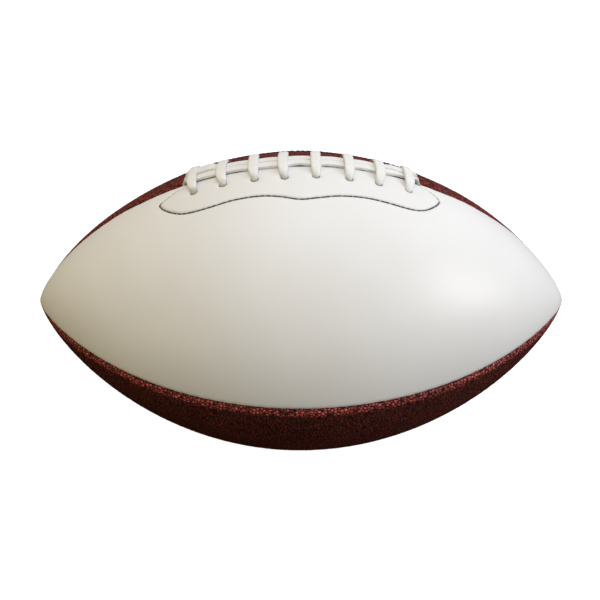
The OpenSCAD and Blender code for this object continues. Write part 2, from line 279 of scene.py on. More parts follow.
@dataclass(frozen=True)
class LacingPlan:
    """Places of the lace holes and of the reinforcement beside the lace seam.

    Attributes:
        count: Number of cross laces.
        pitch: Distance between neighbouring cross laces.
        hole_offset: Distance of a lace hole from the lace seam.
        hole_d: Diameter of a lace hole.
        end_step: Distance from the last cross lace to a long lace's end hole.
        end_places: Places of the front and the back end hole across the lace seam.
        end_shifts: Shift of the long laces' ends at -X and +X towards +X.
        slit_w: Width of the gap between the panels under the laces.
        patch_reach: Furthest distance of the sewn outline from the lace seam.
        lean: Shift of all the lace holes from their even places, towards the front.
        hole_shifts: Shift of each front hole along the ball.
        hole_backs: Shift of each front hole towards the back.
        back_reach: Further distance of the back holes from the lace seam.
        outline_xs: Places where the front panel's sewn outline strays.
        outline_shifts: Its shift towards the front at each of them.
    """

    count: int = 8
    pitch: float = 14.4
    hole_offset: float = 11.8
    hole_d: float = 4.0
    end_step: float = 5.6
    end_places: tuple[float, float] = (-1.9, -6.6)
    end_shifts: tuple[float, float] = (0.3, 1.1)
    slit_w: float = 1.0
    patch_reach: float = 26.8
    lean: float = -1.5
    hole_shifts: tuple[float, ...] = (0.5, 0.0, 0.5, 0.0, 0.3, 1.4, 0.9, 0.9)
    hole_backs: tuple[float, ...] = (0.0, 0.3, 0.2, 0.0, 1.1, 1.0, 1.3, 2.0)
    back_reach: float = 2.8
    outline_xs: tuple[float, ...] = (-66, -57, -46, -40, -30, -20, -10, 0, 30, 52, 60, 66)
    outline_shifts: tuple[float, ...] = (2.0, 0.3, 0.2, 0.3, -0.6, -1.5, -2.1, -1.3, -1.9,
                                         -1.9, -0.9, -0.6)

    @property
    def cross_xs(self) -> Array:
        """Places of the cross laces along the ball."""
        return (np.arange(self.count) - (self.count - 1) / 2) * self.pitch

    @property
    def end_x(self) -> float:
        """Distance of the end holes from the middle."""
        return self.pitch * (self.count - 1) / 2 + self.end_step

    @property
    def slit_half(self) -> float:
        """Half the length of the gap under the laces."""
        return self.end_x - 0.6

    def holes(self, side: int) -> Array:
        """Lace holes on one side (1 front, -1 back), as rows of [x, c]."""
        places = np.full(self.count, side * self.hole_offset + self.lean)
        if side > 0:
            return np.stack([self.cross_xs + self.hole_shifts, places - self.hole_backs], -1)
        ends = [[x, c] for x in (self.end_shifts[0] - self.end_x,
                                 self.end_shifts[1] + self.end_x) for c in self.end_places]
        return np.vstack([np.stack([self.cross_xs, places - self.back_reach], -1), ends])

    def sewn_outline(self, side: int) -> Array:
        """The wavy line sewn round the reinforcement, as rows of [x, c].

        A smooth curve through points chosen on the half towards +X, and its mirror.

        Args:
            side: 1 for the front panel, -1 for the back panel.

        Returns:
            Points from the lace seam's end at -X round to the end at +X.
        """
        w = self.patch_reach
        e = self.end_x + 10.5
        half = np.array([[0, w], [9, w - 1.2], [18, w - 2.9], [30, w - 3.7],
                         [e - 26, w - 3.3], [e - 18.5, w - 3], [e - 12.5, w - 4],
                         [e - 7.5, w - 7.2], [e - 3, w - 12], [e - 0.5, w - 16],
                         [e, 8.4], [e - 2, 5.2], [e - 6.3, 2.4], [e - 11.5, 1.0]])
        whole = np.vstack([half[:0:-1] * [-1, 1], half])
        if side > 0:
            slim = smooth_step(whole[:, 0], -48, -55) * smooth_step(whole[:, 1], 9.0, 6.0)
            whole[:, 1] += np.interp(whole[:, 0], self.outline_xs, self.outline_shifts)
            whole[:, 1] += 1.9 * slim
        return catmull_rom(whole, 8) * [1, side]


@dataclass(frozen=True)
class Valve:
    """The needle valve's place in the back panel.

    Attributes:
        hole_d: Diameter of its hole.
        angle: Angle from the lace seam towards the back, in degrees.
    """

    hole_d: float = 8.0
    angle: float = 45.0

    def seat(self, form: BallForm) -> Array:
        """The valve's place, as one row of [x, c]."""
        return np.array([[0.0, -form.mid_radius * math.radians(self.angle)]])


def line_gap(x: Array, c: Array, line: Array) -> Array:
    """Distance of places from a line, to the nearest point of its nearest stretch.

    Args:
        x: Places along the ball.
        c: Distances from the lace seam.
        line: The line's points, as rows of [x, c].

    Returns:
        The distances.
    """
    px, pc = x[:, None], c[:, None]
    start, step = line[:-1], np.diff(line, axis=0)
    along = (px - start[:, 0]) * step[:, 0] + (pc - start[:, 1]) * step[:, 1]
    along = np.clip(along / (step ** 2).sum(1), 0, 1)
    return np.hypot(px - start[:, 0] - along * step[:, 0],
                    pc - start[:, 1] - along * step[:, 1]).min(1)


# ---------------------------------------------------------------- materials

def to_linear(code: str) -> tuple[float, float, float, float]:
    """Turns an sRGB hex colour such as "#7a3b2a" into linear red, green, blue and alpha."""
    shares = [int(code[k:k + 2], 16) / 255 for k in (1, 3, 5)]
    linear = [v / 12.92 if v <= 0.04045 else ((v + 0.055) / 1.055) ** 2.4 for v in shares]
    return linear[0], linear[1], linear[2], 1.0


def add_node(tree: bpy.types.NodeTree, kind: str, inputs: dict | None = None,
             **settings: object) -> bpy.types.Node:
    """Adds a node to a tree with its settings, values and links.

    Args:
        tree: The node tree.
        kind: Type name of the node.
        inputs: Input name or number to a value, or to the output socket to link.
        **settings: Properties of the node.

    Returns:
        The new node.
    """
    node = tree.nodes.new(kind)
    for key, value in settings.items():
        setattr(node, key, value)
    for key, value in (inputs or {}).items():
        if isinstance(value, bpy.types.NodeSocket):
            tree.links.new(value, node.inputs[key])
        else:
            node.inputs[key].default_value = value
    return node


def wire(tree: bpy.types.NodeTree, shader: bpy.types.Node,
         **outputs: bpy.types.NodeSocket) -> None:
    """Links outputs to a shader's inputs, named with _ for a space."""
    for key, output in outputs.items():
        tree.links.new(output, shader.inputs[key.replace("_", " ")])


def per_mm(size: float) -> float:
    """Texture scale, in repeats per metre, of a pattern that repeats every size mm."""
    return 1.0 / (size * MM)


def start_material(name: str, roughness: float, **sockets: float | tuple) -> tuple:
    """Starts a material with a surface shader and its fixed values.

    Args:
        name: Name of the material.
        roughness: Roughness of the surface.
        **sockets: Further values, by the shader's socket name with _ for a space.

    Returns:
        The material, its node tree, the shader node and the coordinate socket.
    """
    material = bpy.data.materials.new(name)
    material.use_nodes = True
    tree = material.node_tree
    tree.nodes.clear()
    shader = add_node(tree, "ShaderNodeBsdfPrincipled", {"Roughness": roughness})
    for key, value in sockets.items():
        shader.inputs[key.replace("_", " ")].default_value = value
    add_node(tree, "ShaderNodeOutputMaterial", {"Surface": shader.outputs[0]})
    place = add_node(tree, "ShaderNodeTexCoord").outputs["Object"]
    return material, tree, shader, place


@dataclass(frozen=True)
class PebbledLeather:
    """Tanned cowhide embossed with a pebble grain and sealed with a tacky finish.

    The larger folds of the emboss are in the mesh, which carries their height as
    "grain". The small pebbles between them are cells round scattered points. Tops are
    shinier. The valleys are painted much darker than the tops, as painted shade. Beside
    the seams the tops turn lighter, partly scuffing and partly a painted highlight.

    Attributes:
        name: The material's name.
        top: Colour of the pebbles' tops.
        worn_and_painted_light: Colour of the tops beside a seam, partly scuffing and partly a
            painted highlight.
        valley: Colour between the pebbles, darker as painted shade.
        pebble: Size of a small pebble.
        pore: Size of the hide's own pores.
    """

    name: str = "pebbled_leather"
    top: str = "#ac382e"
    worn_and_painted_light: str = "#d8584f"
    valley: str = "#2a0d09"
    pebble: float = 1.55
    pore: float = 0.45

    def material(self) -> bpy.types.Material:
        """Builds the material."""
        made, tree, shader, place = start_material(
            self.name, 0.5, Specular_IOR_Level=0.22, Sheen_Weight=0.15,
            Sheen_Roughness=0.45, Sheen_Tint=to_linear(self.top))
        grain = add_node(tree, "ShaderNodeAttribute", attribute_name="grain").outputs["Fac"]
        patches = add_node(tree, "ShaderNodeTexNoise", {
            "Vector": place, "Scale": per_mm(38), "Detail": 3.0}).outputs["Fac"]
        pores = add_node(tree, "ShaderNodeTexNoise", {
            "Vector": place, "Scale": per_mm(self.pore), "Detail": 2.0}).outputs["Fac"]
        cells = add_node(tree, "ShaderNodeTexVoronoi", {
            "Vector": place, "Scale": per_mm(self.pebble), "Randomness": 0.85},
            feature="DISTANCE_TO_EDGE").outputs["Distance"]
        dome = add_node(tree, "ShaderNodeMapRange", {
            "Value": cells, "From Min": 0.02, "From Max": 0.3},
            interpolation_type="SMOOTHSTEP").outputs[0]
        fold = add_node(tree, "ShaderNodeMapRange", {
            "Value": grain, "From Min": 0.0, "From Max": 0.8, "To Min": 0.35}).outputs[0]
        height = add_node(tree, "ShaderNodeMath", {0: dome, 1: fold},
                          operation="MULTIPLY").outputs[0]
        # Beside the seams the tops take the lighter colour: partly scuffing, partly a painted
        # highlight.
        wear_and_painted_light = add_node(tree, "ShaderNodeAttribute", attribute_name="wear_and_painted_light").outputs["Fac"]
        top = add_node(tree, "ShaderNodeMix", {
            "Factor": wear_and_painted_light, "A": to_linear(self.top), "B": to_linear(self.worn_and_painted_light)},
            data_type="RGBA").outputs["Result"]
        # The valleys take the dark colour: painted shade between the pebbles.
        colour = add_node(tree, "ShaderNodeMix", {
            "Factor": height, "A": to_linear(self.valley), "B": top}, data_type="RGBA")
        shade = add_node(tree, "ShaderNodeMapRange", {
            "Value": patches, "From Min": 0.3, "From Max": 0.7, "To Min": 0.82, "To Max": 1.1})
        speck = add_node(tree, "ShaderNodeMapRange", {
            "Value": pores, "From Min": 0.35, "From Max": 0.65, "To Min": 0.8, "To Max": 1.12})
        tone = add_node(tree, "ShaderNodeMath", {
            0: shade.outputs[0], 1: speck.outputs[0]}, operation="MULTIPLY")
        both = add_node(tree, "ShaderNodeVectorMath", {
            0: colour.outputs["Result"], "Scale": tone.outputs[0]}, operation="SCALE")
        rough = add_node(tree, "ShaderNodeMapRange", {
            "Value": height, "To Min": 0.72, "To Max": 0.46})
        emboss = add_node(tree, "ShaderNodeBump", {
            "Strength": 0.8, "Distance": 0.28 * MM, "Height": dome})
        bump = add_node(tree, "ShaderNodeBump", {
            "Strength": 0.3, "Distance": 0.06 * MM, "Height": pores,
            "Normal": emboss.outputs[0]})
        wire(tree, shader, Base_Color=both.outputs[0], Roughness=rough.outputs[0],
             Normal=bump.outputs[0])
        return made


@dataclass(frozen=True)
class SmoothWhiteCover:
    """Synthetic leather with a smooth white polyurethane skin, made to be written on.

    The skin is satin and even; it shows a faint hair-cell emboss and a slight
    cream tint that drifts over the panel, and a grey painted shade along its sewn groove.

    Attributes:
        white: Main colour.
        cream: Colour of the faintly yellowed patches.
        groove_shade: Colour of the painted shade in the sewn groove.
        cell: Size of the emboss.
    """

    white: str = "#f6f6f4"
    cream: str = "#f2f1ee"
    groove_shade: str = "#6f6c66"
    cell: float = 0.55

    def material(self) -> bpy.types.Material:
        """Builds the material."""
        made, tree, shader, place = start_material(
            "smooth_white_cover", 0.42, IOR=1.5, Coat_Weight=0.1, Coat_Roughness=0.3)
        drift = add_node(tree, "ShaderNodeTexNoise", {
            "Vector": place, "Scale": per_mm(55), "Detail": 2.0}).outputs["Fac"]
        cells = add_node(tree, "ShaderNodeTexVoronoi", {
            "Vector": place, "Scale": per_mm(self.cell)}, feature="SMOOTH_F1").outputs[0]
        fine = add_node(tree, "ShaderNodeTexNoise", {
            "Vector": place, "Scale": per_mm(0.3), "Detail": 2.0}).outputs["Fac"]
        amount = add_node(tree, "ShaderNodeMapRange", {
            "Value": drift, "From Min": 0.35, "From Max": 0.7}).outputs[0]
        clean = add_node(tree, "ShaderNodeMix", {
            "Factor": amount, "A": to_linear(self.white), "B": to_linear(self.cream)},
            data_type="RGBA").outputs["Result"]
        # Painted shade along the sewn groove.
        groove_shade = add_node(tree, "ShaderNodeAttribute", attribute_name="wear_and_painted_light").outputs["Fac"]
        colour = add_node(tree, "ShaderNodeMix", {
            "Factor": groove_shade, "A": clean, "B": to_linear(self.groove_shade)}, data_type="RGBA")
        rough = add_node(tree, "ShaderNodeMapRange", {
            "Value": fine, "From Min": 0.3, "From Max": 0.7, "To Min": 0.38, "To Max": 0.5})
        relief = add_node(tree, "ShaderNodeMath", {0: cells, 1: fine}, operation="ADD")
        bump = add_node(tree, "ShaderNodeBump", {
            "Strength": 0.12, "Distance": 0.05 * MM, "Height": relief.outputs[0]})
        wire(tree, shader, Base_Color=colour.outputs["Result"], Roughness=rough.outputs[0],
             Normal=bump.outputs[0])
        return made


@dataclass(frozen=True)
class LaceVinyl:
    """White vinyl-coated composite lace, calendered and slit into a flat strip.

    It is smooth and slightly waxy, with fine lines along it from the calender, and it
    greys a little at its cut edges. It is also painted grey where it dives into a hole
    and where it runs under the cover: painted shade, with some soiling near the holes.
    Its map runs along the strip in u and across it in v.

    Attributes:
        face: Colour of the flat faces.
        edge: Colour of the cut edges, and of the painted shade near the holes.
        line: Distance between the lengthwise lines.
    """

    face: str = "#f8f8f5"
    edge: str = "#bdb8ab"
    line: float = 0.5

    def material(self) -> bpy.types.Material:
        """Builds the material."""
        made, tree, shader, place = start_material(
            "lace_vinyl", 0.48, IOR=1.5, Coat_Weight=0.08, Coat_Roughness=0.4)
        # The edge value greys the cut edges and adds painted shade where the lace dives into a
        # hole.
        edge = add_node(tree, "ShaderNodeAttribute", attribute_name="edge").outputs["Fac"]
        flow = add_node(tree, "ShaderNodeUVMap", uv_map="strip").outputs[0]
        lines = add_node(tree, "ShaderNodeTexWave", {
            "Vector": flow, "Scale": 2 * math.pi / self.line / 20, "Distortion": 1.5,
            "Detail": 2.0}, bands_direction="Y").outputs["Fac"]
        mottle = add_node(tree, "ShaderNodeTexNoise", {
            "Vector": place, "Scale": per_mm(3.5), "Detail": 3.0}).outputs["Fac"]
        fine = add_node(tree, "ShaderNodeTexNoise", {
            "Vector": place, "Scale": per_mm(0.4), "Detail": 2.0}).outputs["Fac"]
        worn_and_painted_light = add_node(tree, "ShaderNodeMath", {
            0: edge, 1: mottle}, operation="MULTIPLY", use_clamp=True).outputs[0]
        colour = add_node(tree, "ShaderNodeMix", {
            "Factor": worn_and_painted_light, "A": to_linear(self.face), "B": to_linear(self.edge)},
            data_type="RGBA")
        rough = add_node(tree, "ShaderNodeMapRange", {
            "Value": mottle, "From Min": 0.3, "From Max": 0.7, "To Min": 0.42, "To Max": 0.58})
        relief = add_node(tree, "ShaderNodeMath", {0: lines, 1: fine}, operation="ADD")
        bump = add_node(tree, "ShaderNodeBump", {
            "Strength": 0.22, "Distance": 0.05 * MM, "Height": relief.outputs[0]})
        wire(tree, shader, Base_Color=colour.outputs["Result"], Roughness=rough.outputs[0],
             Normal=bump.outputs[0])
        return made


@dataclass(frozen=True)
class Thread:
    """Twisted polyester sewing thread, waxed, with plies that show as slanting ridges.

    Attributes:
        name: Name of the material.
        ply: Colour of the plies.
        gap: Colour between the plies.
        lay: Length of one turn of a ply.
    """

    name: str
    ply: str
    gap: str
    lay: float = 0.9

    def material(self) -> bpy.types.Material:
        """Builds the material."""
        made, tree, shader, place = start_material(self.name, 0.62, IOR=1.5)
        turned = add_node(tree, "ShaderNodeMapping", {
            "Vector": place, "Rotation": (0.5, 0.6, 0.7)}).outputs[0]
        plies = add_node(tree, "ShaderNodeTexWave", {
            "Vector": turned, "Scale": per_mm(self.lay) * math.pi / 10,
            "Distortion": 0.6}).outputs["Fac"]
        fuzz = add_node(tree, "ShaderNodeTexNoise", {
            "Vector": place, "Scale": per_mm(0.25), "Detail": 2.0}).outputs["Fac"]
        mixed = add_node(tree, "ShaderNodeMath", {
            0: plies, 1: fuzz}, operation="MULTIPLY").outputs[0]
        colour = add_node(tree, "ShaderNodeMix", {
            "Factor": mixed, "A": to_linear(self.gap), "B": to_linear(self.ply)},
            data_type="RGBA")
        bump = add_node(tree, "ShaderNodeBump", {
            "Strength": 0.5, "Distance": 0.1 * MM, "Height": mixed})
        wire(tree, shader, Base_Color=colour.outputs["Result"],
             Normal=bump.outputs[0])
        return made


@dataclass(frozen=True)
class WovenCloth:
    """Plain-woven cotton, stiffened with latex, as in linings and reinforcements.

    Warp and weft show as two crossed sets of ridges, with slubs in the yarn.

    Attributes:
        name: Name of the material.
        yarn: Colour of the yarn.
        hole: Colour between the yarns.
        spacing: Distance between neighbouring yarns.
    """

    name: str
    yarn: str
    hole: str
    spacing: float

    def material(self) -> bpy.types.Material:
        """Builds the material."""
        made, tree, shader, place = start_material(
            self.name, 0.88, IOR=1.45, Sheen_Weight=0.25, Sheen_Roughness=0.5)
        scale = per_mm(self.spacing) * math.pi / 10
        warp = add_node(tree, "ShaderNodeTexWave", {
            "Vector": place, "Scale": scale, "Distortion": 0.5}, bands_direction="X")
        weft = add_node(tree, "ShaderNodeTexWave", {
            "Vector": place, "Scale": scale, "Distortion": 0.5}, bands_direction="Z")
        slub = add_node(tree, "ShaderNodeTexNoise", {
            "Vector": place, "Scale": per_mm(4), "Detail": 3.0}).outputs["Fac"]
        weave = add_node(tree, "ShaderNodeMath", {
            0: warp.outputs["Fac"], 1: weft.outputs["Fac"]}, operation="MULTIPLY").outputs[0]
        amount = add_node(tree, "ShaderNodeMath", {
            0: weave, 1: slub}, operation="ADD", use_clamp=True).outputs[0]
        colour = add_node(tree, "ShaderNodeMix", {
            "Factor": amount, "A": to_linear(self.hole), "B": to_linear(self.yarn)},
            data_type="RGBA")
        bump = add_node(tree, "ShaderNodeBump", {
            "Strength": 0.5, "Distance": 0.15 * MM, "Height": weave})
        wire(tree, shader, Base_Color=colour.outputs["Result"],
             Normal=bump.outputs[0])
        return made


@dataclass(frozen=True)
class SplitLeather:
    """Undyed split leather, buffed, so its face is a short matted nap.

    Attributes:
        light: Colour of the raised nap.
        dark: Colour where the nap lies flat.
    """

    light: str = "#c19a6b"
    dark: str = "#8d6a43"

    def material(self) -> bpy.types.Material:
        """Builds the material."""
        made, tree, shader, place = start_material(
            "split_leather", 0.85, IOR=1.45, Sheen_Weight=0.3, Sheen_Roughness=0.6)
        cloud = add_node(tree, "ShaderNodeTexNoise", {
            "Vector": place, "Scale": per_mm(14), "Detail": 4.0}).outputs["Fac"]
        nap = add_node(tree, "ShaderNodeTexNoise", {
            "Vector": place, "Scale": per_mm(0.5), "Detail": 3.0}).outputs["Fac"]
        mixed = add_node(tree, "ShaderNodeMath", {
            0: cloud, 1: nap}, operation="MULTIPLY").outputs[0]
        amount = add_node(tree, "ShaderNodeMapRange", {
            "Value": mixed, "From Min": 0.12, "From Max": 0.4}).outputs[0]
        colour = add_node(tree, "ShaderNodeMix", {
            "Factor": amount, "A": to_linear(self.dark), "B": to_linear(self.light)},
            data_type="RGBA")
        bump = add_node(tree, "ShaderNodeBump", {
            "Strength": 0.4, "Distance": 0.12 * MM, "Height": nap})
        wire(tree, shader, Base_Color=colour.outputs["Result"],
             Normal=bump.outputs[0])
        return made


@dataclass(frozen=True)
class MouldedRubber:
    """Butyl or natural rubber from a mould, with the mould's fine blasted texture.

    A thin bloom of talc and wax lies on it in clouds and makes it greyer and duller.

    Attributes:
        name: Name of the material.
        rubber: Colour of the clean rubber.
        bloom: Colour where the bloom lies.
        roughness: Roughness of the clean rubber.
        blast: Size of the mould's texture.
    """

    name: str
    rubber: str
    bloom: str
    roughness: float
    blast: float = 0.3

    def material(self) -> bpy.types.Material:
        """Builds the material."""
        made, tree, shader, place = start_material(self.name, self.roughness, IOR=1.52)
        cloud = add_node(tree, "ShaderNodeTexNoise", {
            "Vector": place, "Scale": per_mm(9), "Detail": 4.0}).outputs["Fac"]
        grit = add_node(tree, "ShaderNodeTexNoise", {
            "Vector": place, "Scale": per_mm(self.blast), "Detail": 2.0}).outputs["Fac"]
        amount = add_node(tree, "ShaderNodeMapRange", {
            "Value": cloud, "From Min": 0.42, "From Max": 0.72, "To Max": 0.7}).outputs[0]
        colour = add_node(tree, "ShaderNodeMix", {
            "Factor": amount, "A": to_linear(self.rubber), "B": to_linear(self.bloom)},
            data_type="RGBA")
        rough = add_node(tree, "ShaderNodeMapRange", {
            "Value": amount, "To Min": self.roughness, "To Max": self.roughness + 0.25})
        bump = add_node(tree, "ShaderNodeBump", {
            "Strength": 0.3, "Distance": 0.06 * MM, "Height": grit})
        wire(tree, shader, Base_Color=colour.outputs["Result"], Roughness=rough.outputs[0],
             Normal=bump.outputs[0])
        return made


# ---------------------------------------------------------------- cover panels

class Quarter(Enum):
    """The four panels, by the angle of their first seam from the lace seam."""

    FRONT = 0
    LOWER_FRONT = 90
    LOWER_BACK = 180
    BACK = 270


# The lace seam's strays: degrees towards the front, and the x where each starts and ends.
LACE_SEAM_STRAYS = ((-1.9, -10.0, 60.0), (-1.4, -75.0, -92.0), (-2.4, -95.0, -125.0),
                    (-2.8, 65.0, 90.0), (-6.0, 88.0, 118.0))
# The front seam's stray at the middle, in degrees, and the x where it has faded.
FRONT_SEAM_STRAY = 1.4
FRONT_SEAM_REACH = 95.0


def seam_angle(seam: int, x: Array) -> Array:
    """Angle of a seam round the ball, which strays a little from its even place.

    The lace seam strays to the back in steps, by 1.9 degrees on the half towards +X, by
    up to 10.7 degrees near that half's tip and by up to 3.8 near the other. The front
    seam strays down by 1.4 degrees at the middle, which fades as 1 - (x / 95)³ and
    goes on to as much the other way.

    Args:
        seam: The seam's even angle in degrees, from the lace seam towards the front.
        x: Places along the ball.

    Returns:
        Angles in radians.
    """
    stray = np.zeros_like(x)
    if seam % 360 == Quarter.FRONT.value:
        stray = sum(degrees * smooth_step(x, low, high)
                    for degrees, low, high in LACE_SEAM_STRAYS)
    elif seam == Quarter.LOWER_FRONT.value:
        fade = 1 - np.abs(x / FRONT_SEAM_REACH) ** 3
        stray = np.maximum(FRONT_SEAM_STRAY * fade, -FRONT_SEAM_STRAY)
    return np.radians(seam + stray)


def hashed(a: Array, b: Array, seed: int) -> Array:
    """Repeatable random numbers from 0 to 1 for pairs of whole numbers.

    Args:
        a: First whole numbers.
        b: Second whole numbers.
        seed: Number that picks the sequence.

    Returns:
        One number for each pair, mixed by multiplying and shifting its bits.
    """
    mixed = (a.astype(np.int64) * 73856093) ^ (b.astype(np.int64) * 19349663) ^ (seed * 83492791)
    mixed = (mixed ^ (mixed >> 13)) * 1274126177
    mixed = (mixed ^ (mixed >> 16)) & 0xFFFFFF
    return mixed / float(0xFFFFFF)


@dataclass(frozen=True)
class PebbleGrain:
    """The embossed pebbles, as raised cells round jittered points.

    Attributes:
        pitch: Mean distance between pebbles.
        jitter: Largest shift of a pebble, as a share of the pitch.
        height: Height of a pebble over the valleys.
        valley: Width of a valley, as a share of the pitch.
    """

    pitch: float = 2.6
    jitter: float = 0.32
    height: float = 0.2
    valley: float = 0.62

    def dome(self, along: Array, across: Array, seed: int) -> Array:
        """Share of full height at each place, 0 in a valley and 1 on a pebble.

        The two nearest pebble centres lie at distances near and next. The share rises
        with (next - near) and levels off as 1 - (1 - t)².

        Args:
            along: Distances along the ball.
            across: Distances across the panel, from its middle line.
            seed: Number that picks the panel's own pattern.

        Returns:
            The shares, in the same arrangement.
        """
        row_step = self.pitch * math.sqrt(3) / 2
        row = np.round(along / row_step)
        near = np.full(along.shape, 1e9)
        following = near.copy()
        tall = np.zeros(along.shape)
        for row_shift in (-2, -1, 0, 1, 2):
            k = row + row_shift
            offset = 0.5 * np.mod(k, 2)
            column = np.round(across / self.pitch - offset)
            for column_shift in (-1, 0, 1):
                j = column + column_shift
                du = (k + 2 * self.jitter * (hashed(k, j, seed) - 0.5)) * row_step - along
                dv = ((j + offset + 2 * self.jitter * (hashed(k, j, seed + 7) - 0.5))
                      * self.pitch - across)
                size = hashed(k, j, seed + 13)
                gap = np.hypot(du, dv) - 0.22 * self.pitch * size
                closer = gap < near
                following = np.where(closer, near, np.minimum(following, gap))
                tall = np.where(closer, 0.7 + 0.3 * size, tall)
                near = np.where(closer, gap, near)
        rise = np.clip((following - near) / (self.valley * self.pitch), 0.0, 1.0)
        return (1.0 - (1.0 - rise) ** 2) * tall


@dataclass
class CoverPanel:
    """One of the four panels: its outer face, turned-in edges and inner face.

    Attributes:
        quarter: Which panel it is.
        form: The ball's form.
        plan: Places of the lacing.
        valve: Place of the valve.
        grain: The pebbles, or None on a smooth panel.
        rows: Number of rows along the ball.
        columns: Number of columns across the outer face.
        focus: How much closer rows and columns lie round the lacing.
        thickness: Thickness of the panel.
        turn_in: Depth of the turned-in edges.
        roll_w: Width over which a panel bends into its seam.
        roll_depth: Depth of the crease at a seam.
        pucker: Height of the gathers that the stitches make beside a seam.
        stitch_pitch: Distance between a seam's stitches.
        edge_gaps: Distances of the first columns from a seam.
        inner_columns: Number of columns across the inner face.
        narrow: Width under which a panel's details shrink with it, towards the tips.
        groove_shade_w: Distance from the sewn line over which the painted shade in its groove
            fades.
        wear_and_painted_light: Amount of scuffing and painted highlight beside the seams of the
            panel below the front one.
        wear_and_painted_light_elsewhere: The same on the other pebbled panels.
        flat_depth: How far the back panel lies under the round form at its top.
        flat_less: How much less that is near the tip at +X.
        flat_angle: Angle of its flattest place from the lace seam, in degrees.
        flat_spread: Angle over which the flattening fades, in degrees.
    """

    quarter: Quarter
    form: BallForm
    plan: LacingPlan
    valve: Valve
    grain: PebbleGrain | None
    rows: int = 440
    columns: int = 190
    focus: float = 0.0
    thickness: float = 1.8
    turn_in: float = 4.0
    roll_w: float = 2.8
    roll_depth: float = 1.2
    pucker: float = 0.12
    stitch_pitch: float = 6.0
    edge_gaps: tuple[float, ...] = (0.04, 0.16, 0.38, 0.7, 1.1, 1.6, 2.2, 2.9)
    inner_columns: int = 9
    narrow: float = 30.0
    groove_shade_w: float = 0.36
    wear_and_painted_light: float = 1.0
    wear_and_painted_light_elsewhere: float = 0.35
    flat_depth: float = 0.75
    flat_less: float = 0.6
    flat_angle: float = 330.0
    flat_spread: float = 20.0

    @property
    def name(self) -> str:
        """Name of the panel's CAD node."""
        return self.quarter.name.lower() + "_panel"

    @property
    def lace_side(self) -> int:
        """1 or -1 on a panel beside the laces, to the front or the back, or else 0."""
        return {Quarter.FRONT: 1, Quarter.BACK: -1}.get(self.quarter, 0)

    def turns(self) -> tuple[Array, Array]:
        """Rows' places along the ball.

        Rows lie evenly along the profile's length, but closer by the focus round the
        lacing: each row takes an equal share of the length times its weight.

        Returns:
            The turn of each row, in radians, and its distance along the profile.
        """
        turn = np.linspace(-math.pi / 2, math.pi / 2, 6001)
        edge = self.form.shell(turn, np.zeros_like(turn), np.zeros_like(turn))
        step = np.linalg.norm(np.diff(edge, axis=0), axis=1)
        length = np.concatenate([[0], np.cumsum(step)])
        weight = 1 + self.focus * smooth_step(np.abs(edge[:, 0]), 76, 66)
        load = np.concatenate([[0], np.cumsum(step * (weight[1:] + weight[:-1]) / 2)])
        even = np.linspace(0, load[-1], self.rows)
        return np.interp(even, load, turn), np.interp(even, load, length)

    def shares(self, quarter_length: Array, x: Array) -> Array:
        """Columns' places across the panel, as shares of the way from seam to seam.

        Args:
            quarter_length: Width of the panel at each row.
            x: Place of each row along the ball.

        Returns:
            One row of shares for each row.
        """
        width = np.maximum(quarter_length, self.narrow)[:, None]
        near = np.array(self.edge_gaps)[None, :]
        slit = smooth_step(np.abs(x), self.plan.slit_half + 0.7, self.plan.slit_half - 0.3)
        open_gap = (self.plan.slit_w / 2 * slit)[:, None]
        first = near + (open_gap if self.lace_side == 1 else 0)
        last = near + (open_gap if self.lace_side == -1 else 0)
        left = first / width
        right = 1 - last[:, ::-1] / width
        count = self.columns - 2 * len(self.edge_gaps)
        even = np.linspace(0, 1, count + 2)[1:-1]
        ways = np.linspace(0, 1, 2001)
        toward = ways if self.lace_side >= 0 else 1 - ways
        weight = 1 + (self.focus * smooth_step(toward, 0.28, 0.22) if self.lace_side else 0 * ways)
        load = np.concatenate([[0], np.cumsum((weight[1:] + weight[:-1]) / 2)])
        even = np.interp(even, load / load[-1], ways)[None, :]
        middle = left[:, -1:] + even * (right[:, :1] - left[:, -1:])
        return np.hstack([left, middle, right])

    def sewn_relief(self, x: Array, c: Array) -> Array:
        """Height of the pinched outline and the raised reinforcement inside it.

        The outline is a groove, exp(-(d / 0.6)²), in a wider pinch, exp(-d / 2), where d is
        the distance from the sewn line; the inside stands 0.25 mm proud.

        Args:
            x: Places along the ball.
            c: Distances from the lace seam.

        Returns:
            Heights at those places.
        """
        height = np.zeros(x.shape)
        line = self.plan.sewn_outline(self.lace_side)
        reach = self.plan.patch_reach + 12
        close = (np.abs(x) < self.plan.end_x + 22) & (np.abs(c) < reach)
        px, pc = x[close][:, None], c[close][:, None]
        gap = line_gap(x[close], c[close], line)
        loop = np.vstack([line, line[:1]])
        a, b = loop[:-1], loop[1:]
        spans = (a[:, 1] > pc) != (b[:, 1] > pc)
        rise = np.where(b[:, 1] == a[:, 1], 1e-9, b[:, 1] - a[:, 1])
        crossing = (b[:, 0] - a[:, 0]) * (pc - a[:, 1]) / rise + a[:, 0]
        inside = (np.count_nonzero(spans & (px < crossing), axis=1) % 2) == 1
        signed = np.where(inside, gap, -gap)
        groove = -0.42 * np.exp(-(gap / 0.6) ** 2) - 0.22 * np.exp(-gap / 2.0)
        height[close] = 0.25 * smooth_step(signed, -0.5, 1.5) + groove
        return height

